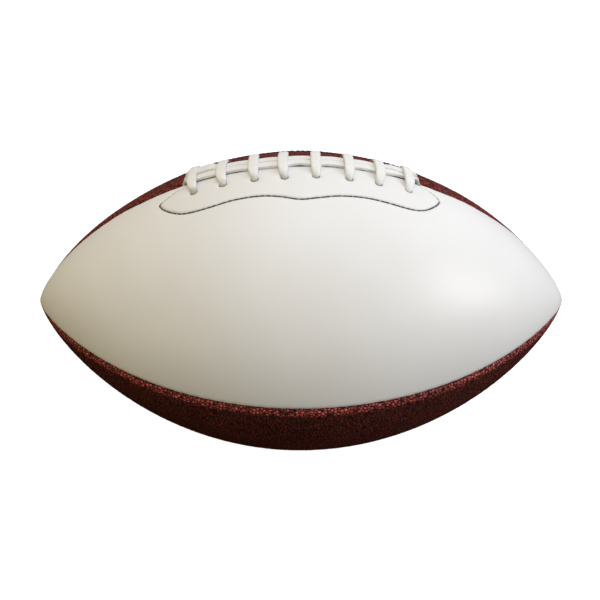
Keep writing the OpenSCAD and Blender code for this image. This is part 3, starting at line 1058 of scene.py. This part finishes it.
    def seam_wear_and_painted_light(self, x: Array, angle: Array, from_seam: Array, small: Array) -> Array:
        """Amount of scuffing and painted highlight beside the seams, or of painted shade in a
        smooth panel's sewn groove.

        A pebbled panel turns lighter where it bends into a seam, from 0.5 to 5.6 mm from it:
        partly scuffing, partly a painted highlight where the bend faces the light. On a smooth
        panel the painted shade fades with the distance d from the sewn line as
        exp(-(d / groove_shade_w)²), and is less where the line comes near the lace seam.

        Args:
            x: Place of each row along the ball.
            angle: Angles of the outer columns.
            from_seam: Distances from the nearest seam.
            small: Share by which seams shrink near the tips.

        Returns:
            The amounts, from 0 to 1.
        """
        if self.grain:
            # Lighter tops beside a seam: partly scuffing, partly a painted highlight, strongest on
            # the panel below the front one.
            reach = from_seam / np.maximum(small, 0.05)
            below = self.quarter is Quarter.LOWER_FRONT
            share = self.wear_and_painted_light if below else self.wear_and_painted_light_elsewhere
            return share * smooth_step(reach, 0.5, 1.0) * smooth_step(reach, 5.6, 3.0)
        # On the smooth panel: painted shade along the sewn groove.
        c = self.form.radius(x)[:, None] * angle
        wide = np.broadcast_to(x[:, None], angle.shape)
        line = self.plan.sewn_outline(self.lace_side)
        groove_shade = np.zeros(angle.shape)
        close = (np.abs(wide) < self.plan.end_x + 14) & (np.abs(c) < self.plan.patch_reach + 4)
        gap = line_gap(wide[close], c[close], line)
        groove_shade[close] = np.exp(-(gap / self.groove_shade_w) ** 2) * (
            1 - 0.75 * smooth_step(np.abs(c[close]), 10.0, 7.0))
        return groove_shade

    def rim_relief(self, points: Array, holes: Array, radius: float) -> Array:
        """Depth of the soft rim round each hole.

        Args:
            points: Places on the cover.
            holes: Rows of [x, c] of the holes.
            radius: Radius of a hole.

        Returns:
            Heights, down to -0.5 mm at a rim and less with distance from it.
        """
        height = np.zeros(points.shape[:-1])
        for x, c in holes:
            centre = self.form.place(x, c, 0.0)
            out = self.form.directions(np.float64(x), np.float64(c))[0]
            gap = points - centre
            beside = np.linalg.norm(gap - (gap @ out)[..., None] * out, axis=-1)
            height -= 0.5 * np.exp(-np.clip(beside - radius, 0, None) / 0.9)
        return height

    def flattening(self, x: Array, angle: Array) -> Array:
        """How far the back panel lies under the round form.

        It fades with the angle a from the flattest place as exp(-(a / spread)²), and
        towards the tips.

        Args:
            x: Place of each row along the ball.
            angle: Angles of the outer columns.

        Returns:
            The depths.
        """
        depth = self.flat_depth - self.flat_less * smooth_step(x, 62.0, 92.0)
        flat = smooth_step(x, -118.0, -80.0) * depth
        away = (np.degrees(angle) - self.flat_angle) / self.flat_spread
        return flat[:, None] * np.exp(-away ** 2)

    def build(self) -> bpy.types.Object:
        """Builds the panel's closed mesh, with its holes cut.

        The outer face is the ball's form plus these heights: the roll into each seam, a
        quarter of an ellipse; the gathers beside it; the pebbles; the sewn outline and the
        rims of the holes. The section then turns down along the seam, back up behind the
        turned-in edge, and across the inner face.

        Returns:
            The panel.
        """
        turn, along = self.turns()
        x = self.form.half(turn) * np.sin(turn)
        quarter_length = self.form.radius(x) * math.pi / 2
        quarter_length[[0, -1]] = 0.0
        share = self.shares(quarter_length, x)
        first = seam_angle(self.quarter.value, x)[:, None]
        last = seam_angle(self.quarter.value + 90, x)[:, None]
        angle = first + share * (last - first)
        across = share * quarter_length[:, None]
        from_seam = np.minimum(across, quarter_length[:, None] - across)
        small = np.clip(quarter_length / self.narrow, 0, 1)[:, None]

        lean = 1 - np.clip(from_seam / np.maximum(self.roll_w * small, 1e-6), 0, 1)
        height = -self.roll_depth * small * (1 - np.sqrt(np.clip(1 - lean ** 2, 0, 1)))
        beat = 0.5 + 0.5 * np.cos(2 * math.pi * x[:, None] / self.stitch_pitch)
        height -= self.pucker * small * beat * np.exp(-from_seam / 2.2)

        grain = np.ones(share.shape)
        if self.grain:
            grain = self.grain.dome(
                np.broadcast_to(along[:, None], share.shape),
                across - quarter_length[:, None] / 2, self.quarter.value + 1)
            height += self.grain.height * (grain - 1) * np.clip(small * 1.5, 0, 1)
        turns = np.broadcast_to(turn[:, None], share.shape)
        if self.lace_side:
            c = self.form.radius(x)[:, None] * (angle - (0 if self.lace_side > 0 else 2 * math.pi))
            wide = np.broadcast_to(x[:, None], share.shape)
            height += self.sewn_relief(wide, c)
            base = self.form.shell(turns, angle, np.zeros(share.shape))
            height += self.rim_relief(base, self.plan.holes(self.lace_side),
                                      self.plan.hole_d / 2)
        if self.quarter is Quarter.BACK:
            base = self.form.shell(turns, angle, np.zeros(share.shape))
            height += self.rim_relief(base, self.valve.seat(self.form), self.valve.hole_d / 2)
            height -= self.flattening(x, angle)
        outer = self.form.shell(turns, angle, height)

        section, hidden = self.inside_section(turn, x, quarter_length, share, height)
        points = np.concatenate([outer, section], axis=1)
        shape = points.shape[:2]
        kept = np.ones(shape)
        kept[:, :share.shape[1]] = grain
        # Share of the seam colour: scuffing with a painted highlight on pebbled panels, painted
        # shade in the sewn groove on the smooth one.
        wear_and_painted_light = np.zeros(shape)
        wear_and_painted_light[:, :share.shape[1]] = self.seam_wear_and_painted_light(x, angle, from_seam, small)
        faces = grid_faces(shape[0], shape[1], closed=True)[:, ::-1]
        piece = mesh_piece(self.name + "_leather", points.reshape(-1, 3), faces, merge=True,
                           values={"grain": kept.reshape(-1), "wear_and_painted_light": wear_and_painted_light.reshape(-1)})
        self.cut_holes(piece)
        log.info("%s: %d faces, %d hidden columns", piece.name,
                 len(piece.data.polygons), hidden)
        return piece

    def inside_section(self, turn: Array, x: Array, quarter_length: Array, share: Array,
                       height: Array) -> tuple[Array, int]:
        """The part of each row's section that doesn't show.

        Args:
            turn: Turn of each row.
            x: Place of each row along the ball.
            quarter_length: Width of the panel at each row.
            share: Shares of the outer columns.
            height: Heights of the outer columns; not used.

        Returns:
            Points for each row, from the far seam back to the near one, and their number.
        """
        small = np.clip(quarter_length / self.narrow, 0, 1)
        width = np.maximum(quarter_length, self.narrow)
        skin = self.thickness
        sewn = smooth_step(np.abs(x), self.plan.slit_half + 2.0, self.plan.slit_half + 3.0)
        full = small * (self.turn_in - skin)
        near_sewn = sewn if self.lace_side == 1 else np.ones_like(sewn)
        far_sewn = sewn if self.lace_side == -1 else np.ones_like(sewn)
        near_depth = -(skin + 0.02 * small + full * near_sewn)
        far_depth = -(skin + 0.02 * small + full * far_sewn)
        back = skin / width
        inner = np.linspace(0, 1, self.inner_columns)[None, :]
        first = share[:, 0] + back
        last = share[:, -1] - back
        floor = np.full(len(x), -skin)
        inner_share = last[:, None] + (first - last)[:, None] * inner
        shares = np.column_stack([share[:, -1], last, inner_share, first, share[:, 0]])
        heights = np.column_stack([far_depth, far_depth,
                                   np.repeat(floor[:, None], self.inner_columns, 1),
                                   near_depth, near_depth])
        near = seam_angle(self.quarter.value, x)[:, None]
        far = seam_angle(self.quarter.value + 90, x)[:, None]
        turns = np.broadcast_to(turn[:, None], shares.shape)
        return self.form.shell(turns, near + shares * (far - near), heights), shares.shape[1]

    def cut_holes(self, piece: bpy.types.Object) -> None:
        """Cuts the lace holes and the valve's hole through a panel that has them."""
        holes = [(hole, self.plan.hole_d / 2) for hole in
                 (self.plan.holes(self.lace_side) if self.lace_side else [])]
        if self.quarter is Quarter.BACK:
            holes += [(hole, self.valve.hole_d / 2) for hole in self.valve.seat(self.form)]
        if not holes:
            return
        ring = np.linspace(0, 2 * math.pi, 48, endpoint=False)
        points, faces = [], []
        for (x, c), radius in holes:
            out, along, across = self.form.directions(np.float64(x), np.float64(c))
            circle = radius * (np.cos(ring)[:, None] * along + np.sin(ring)[:, None] * across)
            for height in (-6.0, 5.0):
                points.append(self.form.place(x, c, height) + circle)
            count = len(ring)
            start = (len(points) - 2) * count
            for k in range(count):
                n = (k + 1) % count
                faces.append([start + k, start + n, start + count + n, start + count + k])
            faces.append(list(range(start + count - 1, start - 1, -1)))
            faces.append(list(range(start + count, start + 2 * count)))
        cutter = mesh_piece(self.name + "_cutter", np.vstack(points), faces)
        with opened(cutter.data) as work:
            bmesh.ops.recalc_face_normals(work, faces=work.faces)
        cut(piece, cutter)
        mark_sharp(piece.data, 58)


# ---------------------------------------------------------------- laces

@dataclass
class LaceStrip:
    """A flat lace: a rounded section carried along a route.

    Attributes:
        width: Width of the strip.
        thickness: Thickness of the strip.
        section_points: Number of points round the section.
    """

    width: float = 5.0
    thickness: float = 1.45
    section_points: int = 28

    def section(self) -> tuple[Array, Array]:
        """The strip's section, as a rounded rectangle.

        Its points are (w |cos t|^(1/4), h |sin t|^(1/2)) with the signs of cos t and
        sin t, for half the width w and half the thickness h.

        Returns:
            Places across the strip and over its middle plane.
        """
        t = (np.arange(self.section_points) + 0.5) / self.section_points * 2 * math.pi
        across = self.width / 2 * np.sign(np.cos(t)) * np.abs(np.cos(t)) ** 0.25
        over = self.thickness / 2 * np.sign(np.sin(t)) * np.abs(np.sin(t)) ** 0.5
        return across, over

    def sweep(self, name: str, route: Array, width_way: Array, squeeze: Array,
              cup: Array, hole_shade_and_grime: Array) -> bpy.types.Object:
        """Carries the section along a route.

        At each station the width lies along width_way, made square to the route, and the
        thickness along their cross product. A cupped section bends by cup times the
        square of the distance from the strip's middle line.

        Args:
            name: Name of the piece.
            route: Stations' places.
            width_way: Direction of the strip's width at each station.
            squeeze: Width at each station, as a share of the full width.
            cup: Bend of the section at each station, in mm at the strip's edge.
            hole_shade_and_grime: Amount of painted shade, with some soiling, at each station.

        Returns:
            The strip, with a map named strip that runs along it in millimetres.
        """
        ahead = unit(np.gradient(route, axis=0))
        wide = unit(width_way - (width_way * ahead).sum(1, keepdims=True) * ahead)
        over_way = np.cross(ahead, wide)
        across, over = self.section()
        bend = cup[:, None] * (across[None, :] / (self.width / 2)) ** 2
        points = (route[:, None, :]
                  + wide[:, None, :] * (across[None, :, None] * squeeze[:, None, None])
                  + over_way[:, None, :] * (over[None, :] + bend)[..., None])
        rows, columns = points.shape[:2]
        faces = grid_faces(rows, columns, closed=True)[:, ::-1].tolist()
        faces.append(list(range(columns)))
        faces.append(list(range(rows * columns - 1, (rows - 1) * columns - 1, -1)))
        # Grey cut edges, plus each station's painted shade and soiling.
        edge = np.abs(across / (self.width / 2)) ** 6
        piece = mesh_piece(name, points.reshape(-1, 3), faces,
                           values={"edge": (edge[None, :] + hole_shade_and_grime[:, None]).reshape(-1)})
        length = np.concatenate([[0], np.cumsum(np.linalg.norm(np.diff(route, axis=0), axis=1))])
        u = np.repeat(length, columns)
        v = np.tile(across, rows)
        corners = np.zeros(len(piece.data.loops), np.int32)
        piece.data.loops.foreach_get("vertex_index", corners)
        flat = np.stack([u[corners], v[corners]], -1).astype(np.float32)
        piece.data.uv_layers.new(name="strip").data.foreach_set("uv", flat.reshape(-1))
        return piece


@dataclass
class CrossLacing:
    """The eight cross laces: one strip that weaves from hole to hole.

    Attributes:
        form: The ball's form.
        plan: Places of the lacing.
        strip: The lace's section.
        high: Height of a cross lace's middle over the cover, above the long laces.
        under: Depth of the hidden stretches.
        leans: Shift along the ball of each cross lace where it passes over the seam.
        lifts: How much higher each one stands behind the lace seam.
    """

    form: BallForm
    plan: LacingPlan
    strip: LaceStrip
    high: float = 2.42
    under: float = 3.75
    leans: tuple[float, ...] = (-0.6, -1.1, -0.3, -0.9, 0.1, 1.4, 1.7, 1.2)
    lifts: tuple[float, ...] = (0.3, -0.2, 0.0, 0.0, 0.2, 0.2, 0.1, 0.3)

    def over_seam(self, x: float, lean: float, shift: float,
                  back: float, lift: float) -> tuple[Array, Array, Array]:
        """One cross lace's stations, from its front hole over to its back hole.

        Args:
            x: Place of the lace along the ball.
            lean: Shift along the ball where it passes over the seam.
            shift: Shift along the ball of its front end.
            back: Shift towards the back of its front end.
            lift: How much higher it stands behind the lace seam.

        Returns:
            Stations as rows of [x, c, height], and each one's squeeze and cup.
        """
        half = np.array([
            [0.0, self.high + 0.02], [0.16, self.high + 0.02], [0.32, self.high],
            [0.46, self.high - 0.04], [0.60, self.high - 0.25], [0.73, self.high - 0.68],
            [0.85, self.high - 1.3], [0.95, self.high - 2.05], [1.02, self.high - 2.95],
            [1.04, -1.4], [1.0, -2.6], [0.92, -self.under + 0.15]])
        whole = np.vstack([half[::-1], half[1:] * [-1, 1]])
        reach = np.abs(whole[:, 0])
        rise = np.clip(1 - reach ** 2, 0, 1)
        front = np.where(whole[:, 0] > 0, np.clip(reach, 0, 1) ** 2, 0.0)
        behind = np.where(whole[:, 0] < 0, np.clip(reach, 0, 1) ** 1.5, 0.0)
        c = (whole[:, 0] * self.plan.hole_offset + self.plan.lean - 0.6 * rise
             - back * front - self.plan.back_reach * behind)
        height = whole[:, 1] + lift * smooth_step(-whole[:, 0], 0.1, 0.5) * smooth_step(
            reach, 1.0, 0.75)
        xs = x + lean * rise + shift * front
        squeeze = 0.98 - 0.25 * smooth_step(reach, 0.5, 1.0)
        cup = 0.15 + 1.35 * smooth_step(reach, 0.6, 1.03)
        return np.column_stack([xs, c, height]), squeeze, cup

    def build(self) -> bpy.types.Object:
        """Builds the lacing along one route through all its holes.

        Returns:
            The lacing.
        """
        stations, squeeze, cup = [], [], []
        xs = self.plan.cross_xs
        first = np.array([[xs[0] - 4.0, 6.2, -self.under], [xs[0] - 2.3, 9.0, -self.under]])
        stations.append(first)
        squeeze.append(np.full(2, 0.95))
        cup.append(np.zeros(2))
        for k, x in enumerate(xs):
            route, narrow, bend = self.over_seam(
                x, self.leans[k], self.plan.hole_shifts[k], self.plan.hole_backs[k],
                self.lifts[k])
            stations.append(route)
            squeeze.append(narrow)
            cup.append(bend)
            if k < len(xs) - 1:
                share = np.array([0.2, 0.35, 0.5, 0.65, 0.8])
                stations.append(np.column_stack([
                    x + (xs[k + 1] - x) * share,
                    (2 * share - 1) * self.plan.hole_offset + self.plan.lean,
                    np.full(5, -self.under)]))
                squeeze.append(np.full(5, 0.95))
                cup.append(np.zeros(5))
        stations.append(first[::-1] * [-1, -1, 1])
        squeeze.append(np.full(2, 0.95))
        cup.append(np.zeros(2))
        rows = np.column_stack([np.vstack(stations), np.concatenate(squeeze),
                                np.concatenate(cup)])
        smooth = catmull_rom(rows, 5)
        route = self.form.place(smooth[:, 0], smooth[:, 1], smooth[:, 2])
        way = self.form.directions(smooth[:, 0], smooth[:, 1] * 0)[1]
        reach = np.abs(smooth[:, 1] - self.plan.lean) / self.plan.hole_offset
        # Painted shade, with some soiling, where the lace dives into a hole and where it runs
        # under the cover.
        hole_shade_and_grime = 1.6 * smooth_step(reach, 0.72, 1.04) + smooth_step(smooth[:, 2], 0.0, -1.5)
        piece = self.strip.sweep("cross_laces", route, way, smooth[:, 3], smooth[:, 4], hole_shade_and_grime)
        log.info("cross_laces: %d stations", len(route))
        return piece


@dataclass
class LongLace:
    """One of the two long laces that lie beside each other under the cross laces.

    Attributes:
        form: The ball's form.
        plan: Places of the lacing.
        strip: The lace's section.
        side: 1 for the front lace, -1 for the back one.
        low: Height of its middle plane over the cover.
    """

    form: BallForm
    plan: LacingPlan
    strip: LaceStrip
    side: int
    low: float = 0.84

    def edges(self) -> Array:
        """Where the lace lies, as rows of [x, c of its near edge, c of its far edge]."""
        if self.side > 0:
            return np.array([
                [-56, 0.4, -4.2], [-50, 2.0, -3.6], [-43, 2.3, -3.3], [-34, 2.1, -2.9],
                [-18, 3.0, -2.2], [-7, 2.4, -2.8], [0, 1.1, -3.6], [6, 2.2, -3.0],
                [13, 1.1, -3.7], [23, 1.5, -3.5], [30, 0.6, -4.2], [39, 1.2, -3.9],
                [46, -0.6, -5.0], [53, -0.8, -5.6], [56, 0.4, -4.4]])
        return np.array([
            [-56, -3.9, -9.4], [-50, -2.5, -10.0], [-43, -2.3, -9.8], [-34, -2.8, -7.8],
            [-18, -2.3, -7.3], [0, -3.3, -7.9], [23, -3.6, -8.6], [39, -4.0, -8.9],
            [46, -4.0, -9.4], [53, -4.2, -10.2], [56, -3.9, -9.6]])

    def build(self) -> bpy.types.Object:
        """Builds the lace along its route, which dips under each cross lace.

        Between cross laces it bulges by 0.16 mm as (1 - cos) of its place between them.

        Returns:
            The lace.
        """
        end = self.plan.end_x
        x = np.linspace(-(end - 3.6), end - 3.6, 140)
        middle = smooth_step(np.abs(x), end - 2, end - 12)
        wave = 0.08 * (1 + np.cos(2 * math.pi * x / self.plan.pitch))
        top = np.column_stack([x, self.low + wave * middle])
        drop = np.array([[1.6, 0.1], [0.5, -0.2], [-0.25, -0.85], [-0.5, -1.7], [-0.3, -2.6]])
        down = np.column_stack([end - drop[:, 0], drop[:, 1]
                                + np.array([self.low - 0.1, self.low - 0.3, 0, 0, 0])])
        up = down[::-1] * [-1, 1]
        rows = catmull_rom(np.vstack([up, top, down]), 3)
        table = catmull_rom(self.edges(), 6)
        near = np.interp(rows[:, 0], table[:, 0], table[:, 1])
        far = np.interp(rows[:, 0], table[:, 0], table[:, 2])
        c = (near + far) / 2
        reach = np.abs(rows[:, 0])
        if self.side < 0:
            rise = np.where(rows[:, 0] < 0, 1.0, 0.6)
            rows[:, 1] += rise * smooth_step(reach, 37, 44) * smooth_step(reach, end, end - 4)
        shift = np.where(rows[:, 0] < 0, *self.plan.end_shifts)
        along = rows[:, 0] + shift * smooth_step(reach, end - 8, end - 2)
        route = self.form.place(along, c, rows[:, 1])
        way = self.form.directions(along, c)[2]
        squeeze = (near - far) / self.strip.width
        cup = -0.5 * smooth_step(reach, end - 5, end - 0.5)
        name = "front_long_lace_strip" if self.side > 0 else "back_long_lace_strip"
        # Painted shade, with some soiling, where the lace dives into its end holes.
        hole_shade_and_grime = smooth_step(reach, end - 3, end)
        piece = self.strip.sweep(name, route, way, squeeze, cup, hole_shade_and_grime)
        log.info("%s: %d stations", name, len(route))
        return piece


# ---------------------------------------------------------------- stitches

@dataclass
class PatchStitches:
    """The row of single stitches along the sewn outline of a reinforcement.

    Attributes:
        form: The ball's form.
        plan: Places of the lacing.
        side: 1 for the front panel, -1 for the back panel.
        pitch: Distance between stitches.
        length: Length of a stitch.
        radius: Radius of the thread.
        depth: Depth of a stitch's middle in its groove.
        uneven: Range of the stitches' shifts along the line.
        dip: How much lower a stitch's ends lie than its middle.
        slack: How much smaller the stitches are where the line comes near the lace seam.
        slack_depth: How much deeper they lie there.
    """

    form: BallForm
    plan: LacingPlan
    side: int
    pitch: float = 2.5
    length: float = 2.5
    radius: float = 0.27
    depth: float = 0.34
    uneven: float = 0.35
    dip: float = 0.16
    slack: float = 0.45
    slack_depth: float = 0.12

    def build(self) -> bpy.types.Object:
        """Builds the stitches as copies of one low capsule.

        The capsule is an ellipsoid whose ends dip into the leather by the square of the
        distance from its middle.

        Returns:
            The stitches, as one piece.
        """
        line = self.plan.sewn_outline(self.side)
        place = self.form.place(line[:, 0], line[:, 1], np.zeros(len(line)))
        length = np.concatenate([[0], np.cumsum(np.linalg.norm(np.diff(place, axis=0), axis=1))])
        count = int(length[-1] / self.pitch)
        shift = (hashed(np.arange(count), np.arange(count) * 3, 5) - 0.5) * self.uneven
        at = (np.arange(count) + 0.5 + shift) * length[-1] / count
        x = np.interp(at, length, line[:, 0])
        c = np.interp(at, length, line[:, 1])
        near = 0.4
        ahead_x, ahead_c = (np.interp(at + near, length, line[:, k])
                            - np.interp(at - near, length, line[:, k]) for k in (0, 1))
        out, along, across = self.form.directions(x, c)
        ahead = unit(ahead_x[:, None] * along + ahead_c[:, None] * across)
        beside = np.cross(out, ahead)
        size = 0.85 + 0.3 * hashed(np.arange(count), np.arange(count) * 5, 9)
        rings, around = 7, 8
        t = np.linspace(0.06, math.pi - 0.06, rings)
        a = np.arange(around) / around * 2 * math.pi
        lengthways = (-np.cos(t) * self.length / 2)[:, None] + 0 * a[None, :]
        sideways = (np.sin(t) ** 0.6 * self.radius)[:, None] * np.cos(a)[None, :]
        upwards = ((np.sin(t) ** 0.6 * self.radius)[:, None] * np.sin(a)[None, :]
                   - self.dip * (lengthways / (self.length / 2)) ** 2)
        beside_seam = smooth_step(np.abs(c), 12.0, 8.0)
        size = size * (1 - self.slack * beside_seam)
        low = -self.depth - self.slack_depth * beside_seam
        centre = self.form.place(x, c, low)
        points = (centre[:, None, None, :]
                  + ahead[:, None, None, :] * lengthways[None, ..., None]
                  + beside[:, None, None, :] * (sideways[None] * size[:, None, None])[..., None]
                  + out[:, None, None, :] * (upwards[None] * size[:, None, None])[..., None])
        one = grid_faces(rings, around, closed=True)
        first = (np.arange(count) * rings * around)[:, None, None]
        faces = (one[None] + first).reshape(-1, 4)
        caps = np.stack([np.arange(around)[::-1], np.arange(around) + (rings - 1) * around])
        caps = (caps[None] + first).reshape(-1, around)
        name = "front_patch_stitches" if self.side > 0 else "back_patch_stitches"
        piece = mesh_piece(name, points.reshape(-1, 3),
                           faces[:, ::-1].tolist() + caps[:, ::-1].tolist())
        log.info("%s: %d stitches", name, count)
        return piece


# ---------------------------------------------------------------- CAD nodes that stay

@dataclass(frozen=True)
class InnerParts:
    """Finishes for the CAD nodes that stay: what lies under the cover.

    Attributes:
        lining: The cloth behind each panel.
        canvas: The reinforcements behind the lace holes.
        seam_thread: The thread of the seams.
        tongue: The flap under the laces.
        bladder: The bladder.
        valve: The valve's body.
        core: The valve's soft core.
    """

    lining: WovenCloth = WovenCloth("lining_cotton", "#d9d0bb", "#8f866f", 1.1)
    canvas: WovenCloth = WovenCloth("reinforcement_canvas", "#c8b690", "#7c6a47", 1.6)
    seam_thread: Thread = Thread("waxed_seam_thread", "#ded8c6", "#8f8870", 1.4)
    tongue: SplitLeather = SplitLeather()
    bladder: MouldedRubber = MouldedRubber("butyl_bladder", "#1d1d1f", "#56565a", 0.5)
    valve: MouldedRubber = MouldedRubber("valve_rubber", "#141414", "#3a3a3c", 0.42)
    core: MouldedRubber = MouldedRubber("valve_core_rubber", "#2b2622", "#5b5148", 0.5)

    def dress(self) -> None:
        """Gives each node its finish."""
        finishes = {
            self.lining: ("front_lining", "back_lining", "lower_front_lining",
                          "lower_back_lining"),
            self.canvas: ("front_lace_patch", "back_lace_patch"),
            self.seam_thread: ("lace_seam_thread", "front_seam_thread", "back_seam_thread",
                               "bottom_seam_thread"),
            self.tongue: ("tongue",),
            self.bladder: ("bladder",),
            self.valve: ("valve_body",),
            self.core: ("valve_core",)}
        for finish, nodes in finishes.items():
            material = finish.material()
            for node in nodes:
                dress(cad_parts[node], material)
                log.info("%s: %s", node, material.name)


# ---------------------------------------------------------------- studio

@dataclass
class Studio:
    """Pale floor, soft lights and the camera.

    Attributes:
        floor_z: Height of the floor.
        eye: Place of the camera, in metres.
        lens: Focal length, in millimetres, on a sensor 36 mm wide.
        floor_glow: How much the floor, a lit table, shines by itself.
        sky_power: Strength of the light from above.
        sky_start: Height of the direction at which the light starts, where the horizon
            is 0 and straight above is 1.
        left: Colour of the light from the left.
        right: Colour of the light from the right.
    """

    floor_z: float
    eye: tuple[float, float, float] = (-0.0003, -0.2947, 0.2237)
    lens: float = 40.8
    floor_glow: float = 0.92
    sky_power: float = 0.81
    sky_start: float = -0.1
    left: str = "#f0d27c"
    right: str = "#fcfdff"

    def lamp(self, name: str, place: tuple[float, float, float], size: float, watts: float,
             colour: str) -> None:
        """Adds a square soft light that faces the ball.

        Args:
            name: Name of the light.
            place: Its place, in metres.
            size: Length of its sides, in metres.
            watts: Its power.
            colour: Its colour.
        """
        light = bpy.data.lights.new(name, "AREA")
        light.energy = watts
        light.size = size
        light.color = to_linear(colour)[:3]
        lamp = bpy.data.objects.new(name, light)
        lamp.location = place
        lamp.rotation_euler = (-Vector(place)).to_track_quat("-Z", "Y").to_euler()
        bpy.context.scene.collection.objects.link(lamp)

    def floor(self) -> None:
        """Lays a wide, pale, matt floor that throws no light back up."""
        half = 12.0
        corners = [(-half, -half), (half, -half), (half, half), (-half, half)]
        mesh = bpy.data.meshes.new("floor")
        mesh.from_pydata([(x, y, self.floor_z) for x, y in corners], [], [(0, 1, 2, 3)])
        floor = bpy.data.objects.new("floor", mesh)
        bpy.context.scene.collection.objects.link(floor)
        material, _, shader, _ = start_material("pale_floor", 0.9)
        shader.inputs["Base Color"].default_value = to_linear("#b0b0b0")
        shader.inputs["Specular IOR Level"].default_value = 0.0
        shader.inputs["Emission Color"].default_value = to_linear("#ffffff")
        shader.inputs["Emission Strength"].default_value = self.floor_glow
        mesh.materials.append(material)
        floor.visible_diffuse = False
        floor.visible_glossy = False

    def sky(self) -> None:
        """Surrounds the scene with soft light from above, warmer to the left.

        The light grows evenly with the height of the direction, from nothing at
        sky_start, a little under the horizon, to sky_power at 0.4 and above. To the left
        it takes the warm colour, which is also dimmer.
        """
        world = bpy.data.worlds.new("studio_sky")
        bpy.context.scene.world = world
        world.use_nodes = True
        tree = world.node_tree
        tree.nodes.clear()
        way = add_node(tree, "ShaderNodeTexCoord").outputs["Generated"]
        parts = add_node(tree, "ShaderNodeSeparateXYZ", {0: way}).outputs
        side = add_node(tree, "ShaderNodeMapRange", {
            "Value": parts["X"], "From Min": -1.0, "From Max": 0.0}).outputs[0]
        colour = add_node(tree, "ShaderNodeMix", {
            "Factor": side, "A": to_linear(self.left), "B": to_linear(self.right)},
            data_type="RGBA").outputs["Result"]
        height = add_node(tree, "ShaderNodeMapRange", {
            "Value": parts["Z"], "From Min": self.sky_start, "From Max": 0.4,
            "To Max": self.sky_power}).outputs[0]
        glow = add_node(tree, "ShaderNodeBackground", {"Color": colour, "Strength": height})
        add_node(tree, "ShaderNodeOutputWorld", {"Surface": glow.outputs[0]})

    def camera(self) -> None:
        """Sets the camera in front of the ball, looking down at its centre."""
        data = bpy.data.cameras.new("camera")
        data.lens = self.lens
        data.sensor_width = 36.0
        data.clip_start = 0.01
        camera = bpy.data.objects.new("camera", data)
        camera.location = self.eye
        camera.rotation_euler = (-Vector(self.eye)).to_track_quat("-Z", "Y").to_euler()
        bpy.context.scene.collection.objects.link(camera)
        bpy.context.scene.camera = camera

    def build(self) -> None:
        """Sets up the whole studio."""
        self.camera()
        self.floor()
        self.sky()
        self.lamp("key", (0.95, -0.3, 0.35), 0.4, 3.9, "#fdfdff")
        self.lamp("overhead", (0.0, 0.0, 1.0), 0.5, 1.25, "#d0dbff")
        self.lamp("warm_fill", (-0.75, -0.65, 0.0), 0.4, 0.85, "#ffe078")
        bpy.context.scene.view_settings.view_transform = "Standard"


# ---------------------------------------------------------------- assembly

def stand_for(piece: bpy.types.Object, node: str,
              material: bpy.types.Material) -> None:
    """Lets a piece stand for a CAD node on the ball's one body.

    Args:
        piece: The finished piece.
        node: The CAD node that it stands for.
        material: Its material.
    """
    dress(piece, material)
    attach(piece, "root")
    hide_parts(node)


def main() -> None:
    """Builds the ball's classes in order, then the studio."""
    logging.basicConfig(level=logging.INFO, format="%(message)s")
    form = BallForm()
    plan = LacingPlan()
    grain = PebbleGrain()
    pebbled = PebbledLeather().material()
    # A darker, browner copy of the same leather for the two lower panels: painted shade. Its
    # lighter seam colour is a stronger painted highlight.
    shaded_pebbled = PebbledLeather("pebbled_leather_painted_shade", "#7e3529", "#f07068", "#1b0b08").material()
    white = SmoothWhiteCover().material()
    vinyl = LaceVinyl().material()
    grey_thread = Thread("grey_patch_thread", "#55555a", "#1c1c1f").material()
    brown_thread = Thread("brown_patch_thread", "#4a2019", "#1d0a07").material()

    Studio(floor_z=-form.mid_radius * MM).build()
    for quarter in Quarter:
        smooth = quarter is Quarter.FRONT
        focus = {Quarter.FRONT: 1.1, Quarter.BACK: 0.25}.get(quarter, 0.0)
        roll = {} if smooth else {"roll_w": 4.4, "roll_depth": 2.3}
        panel = CoverPanel(quarter, form, plan, Valve(), None if smooth else grain,
                           focus=focus, **roll)
        stand_for(panel.build(), panel.name,
                  {Quarter.FRONT: white, Quarter.BACK: pebbled}.get(quarter, shaded_pebbled))

    stand_for(CrossLacing(form, plan, LaceStrip()).build(), "cross_lacing", vinyl)
    for side, node in ((1, "front_long_lace"), (-1, "back_long_lace")):
        stand_for(LongLace(form, plan, LaceStrip(), side).build(), node, vinyl)
    for side, node, thread in ((1, "front_patch_stitching", grey_thread),
                               (-1, "back_patch_stitching", brown_thread)):
        stand_for(PatchStitches(form, plan, side).build(), node, thread)
    InnerParts().dress()


if __name__ == "__main__":
    main()
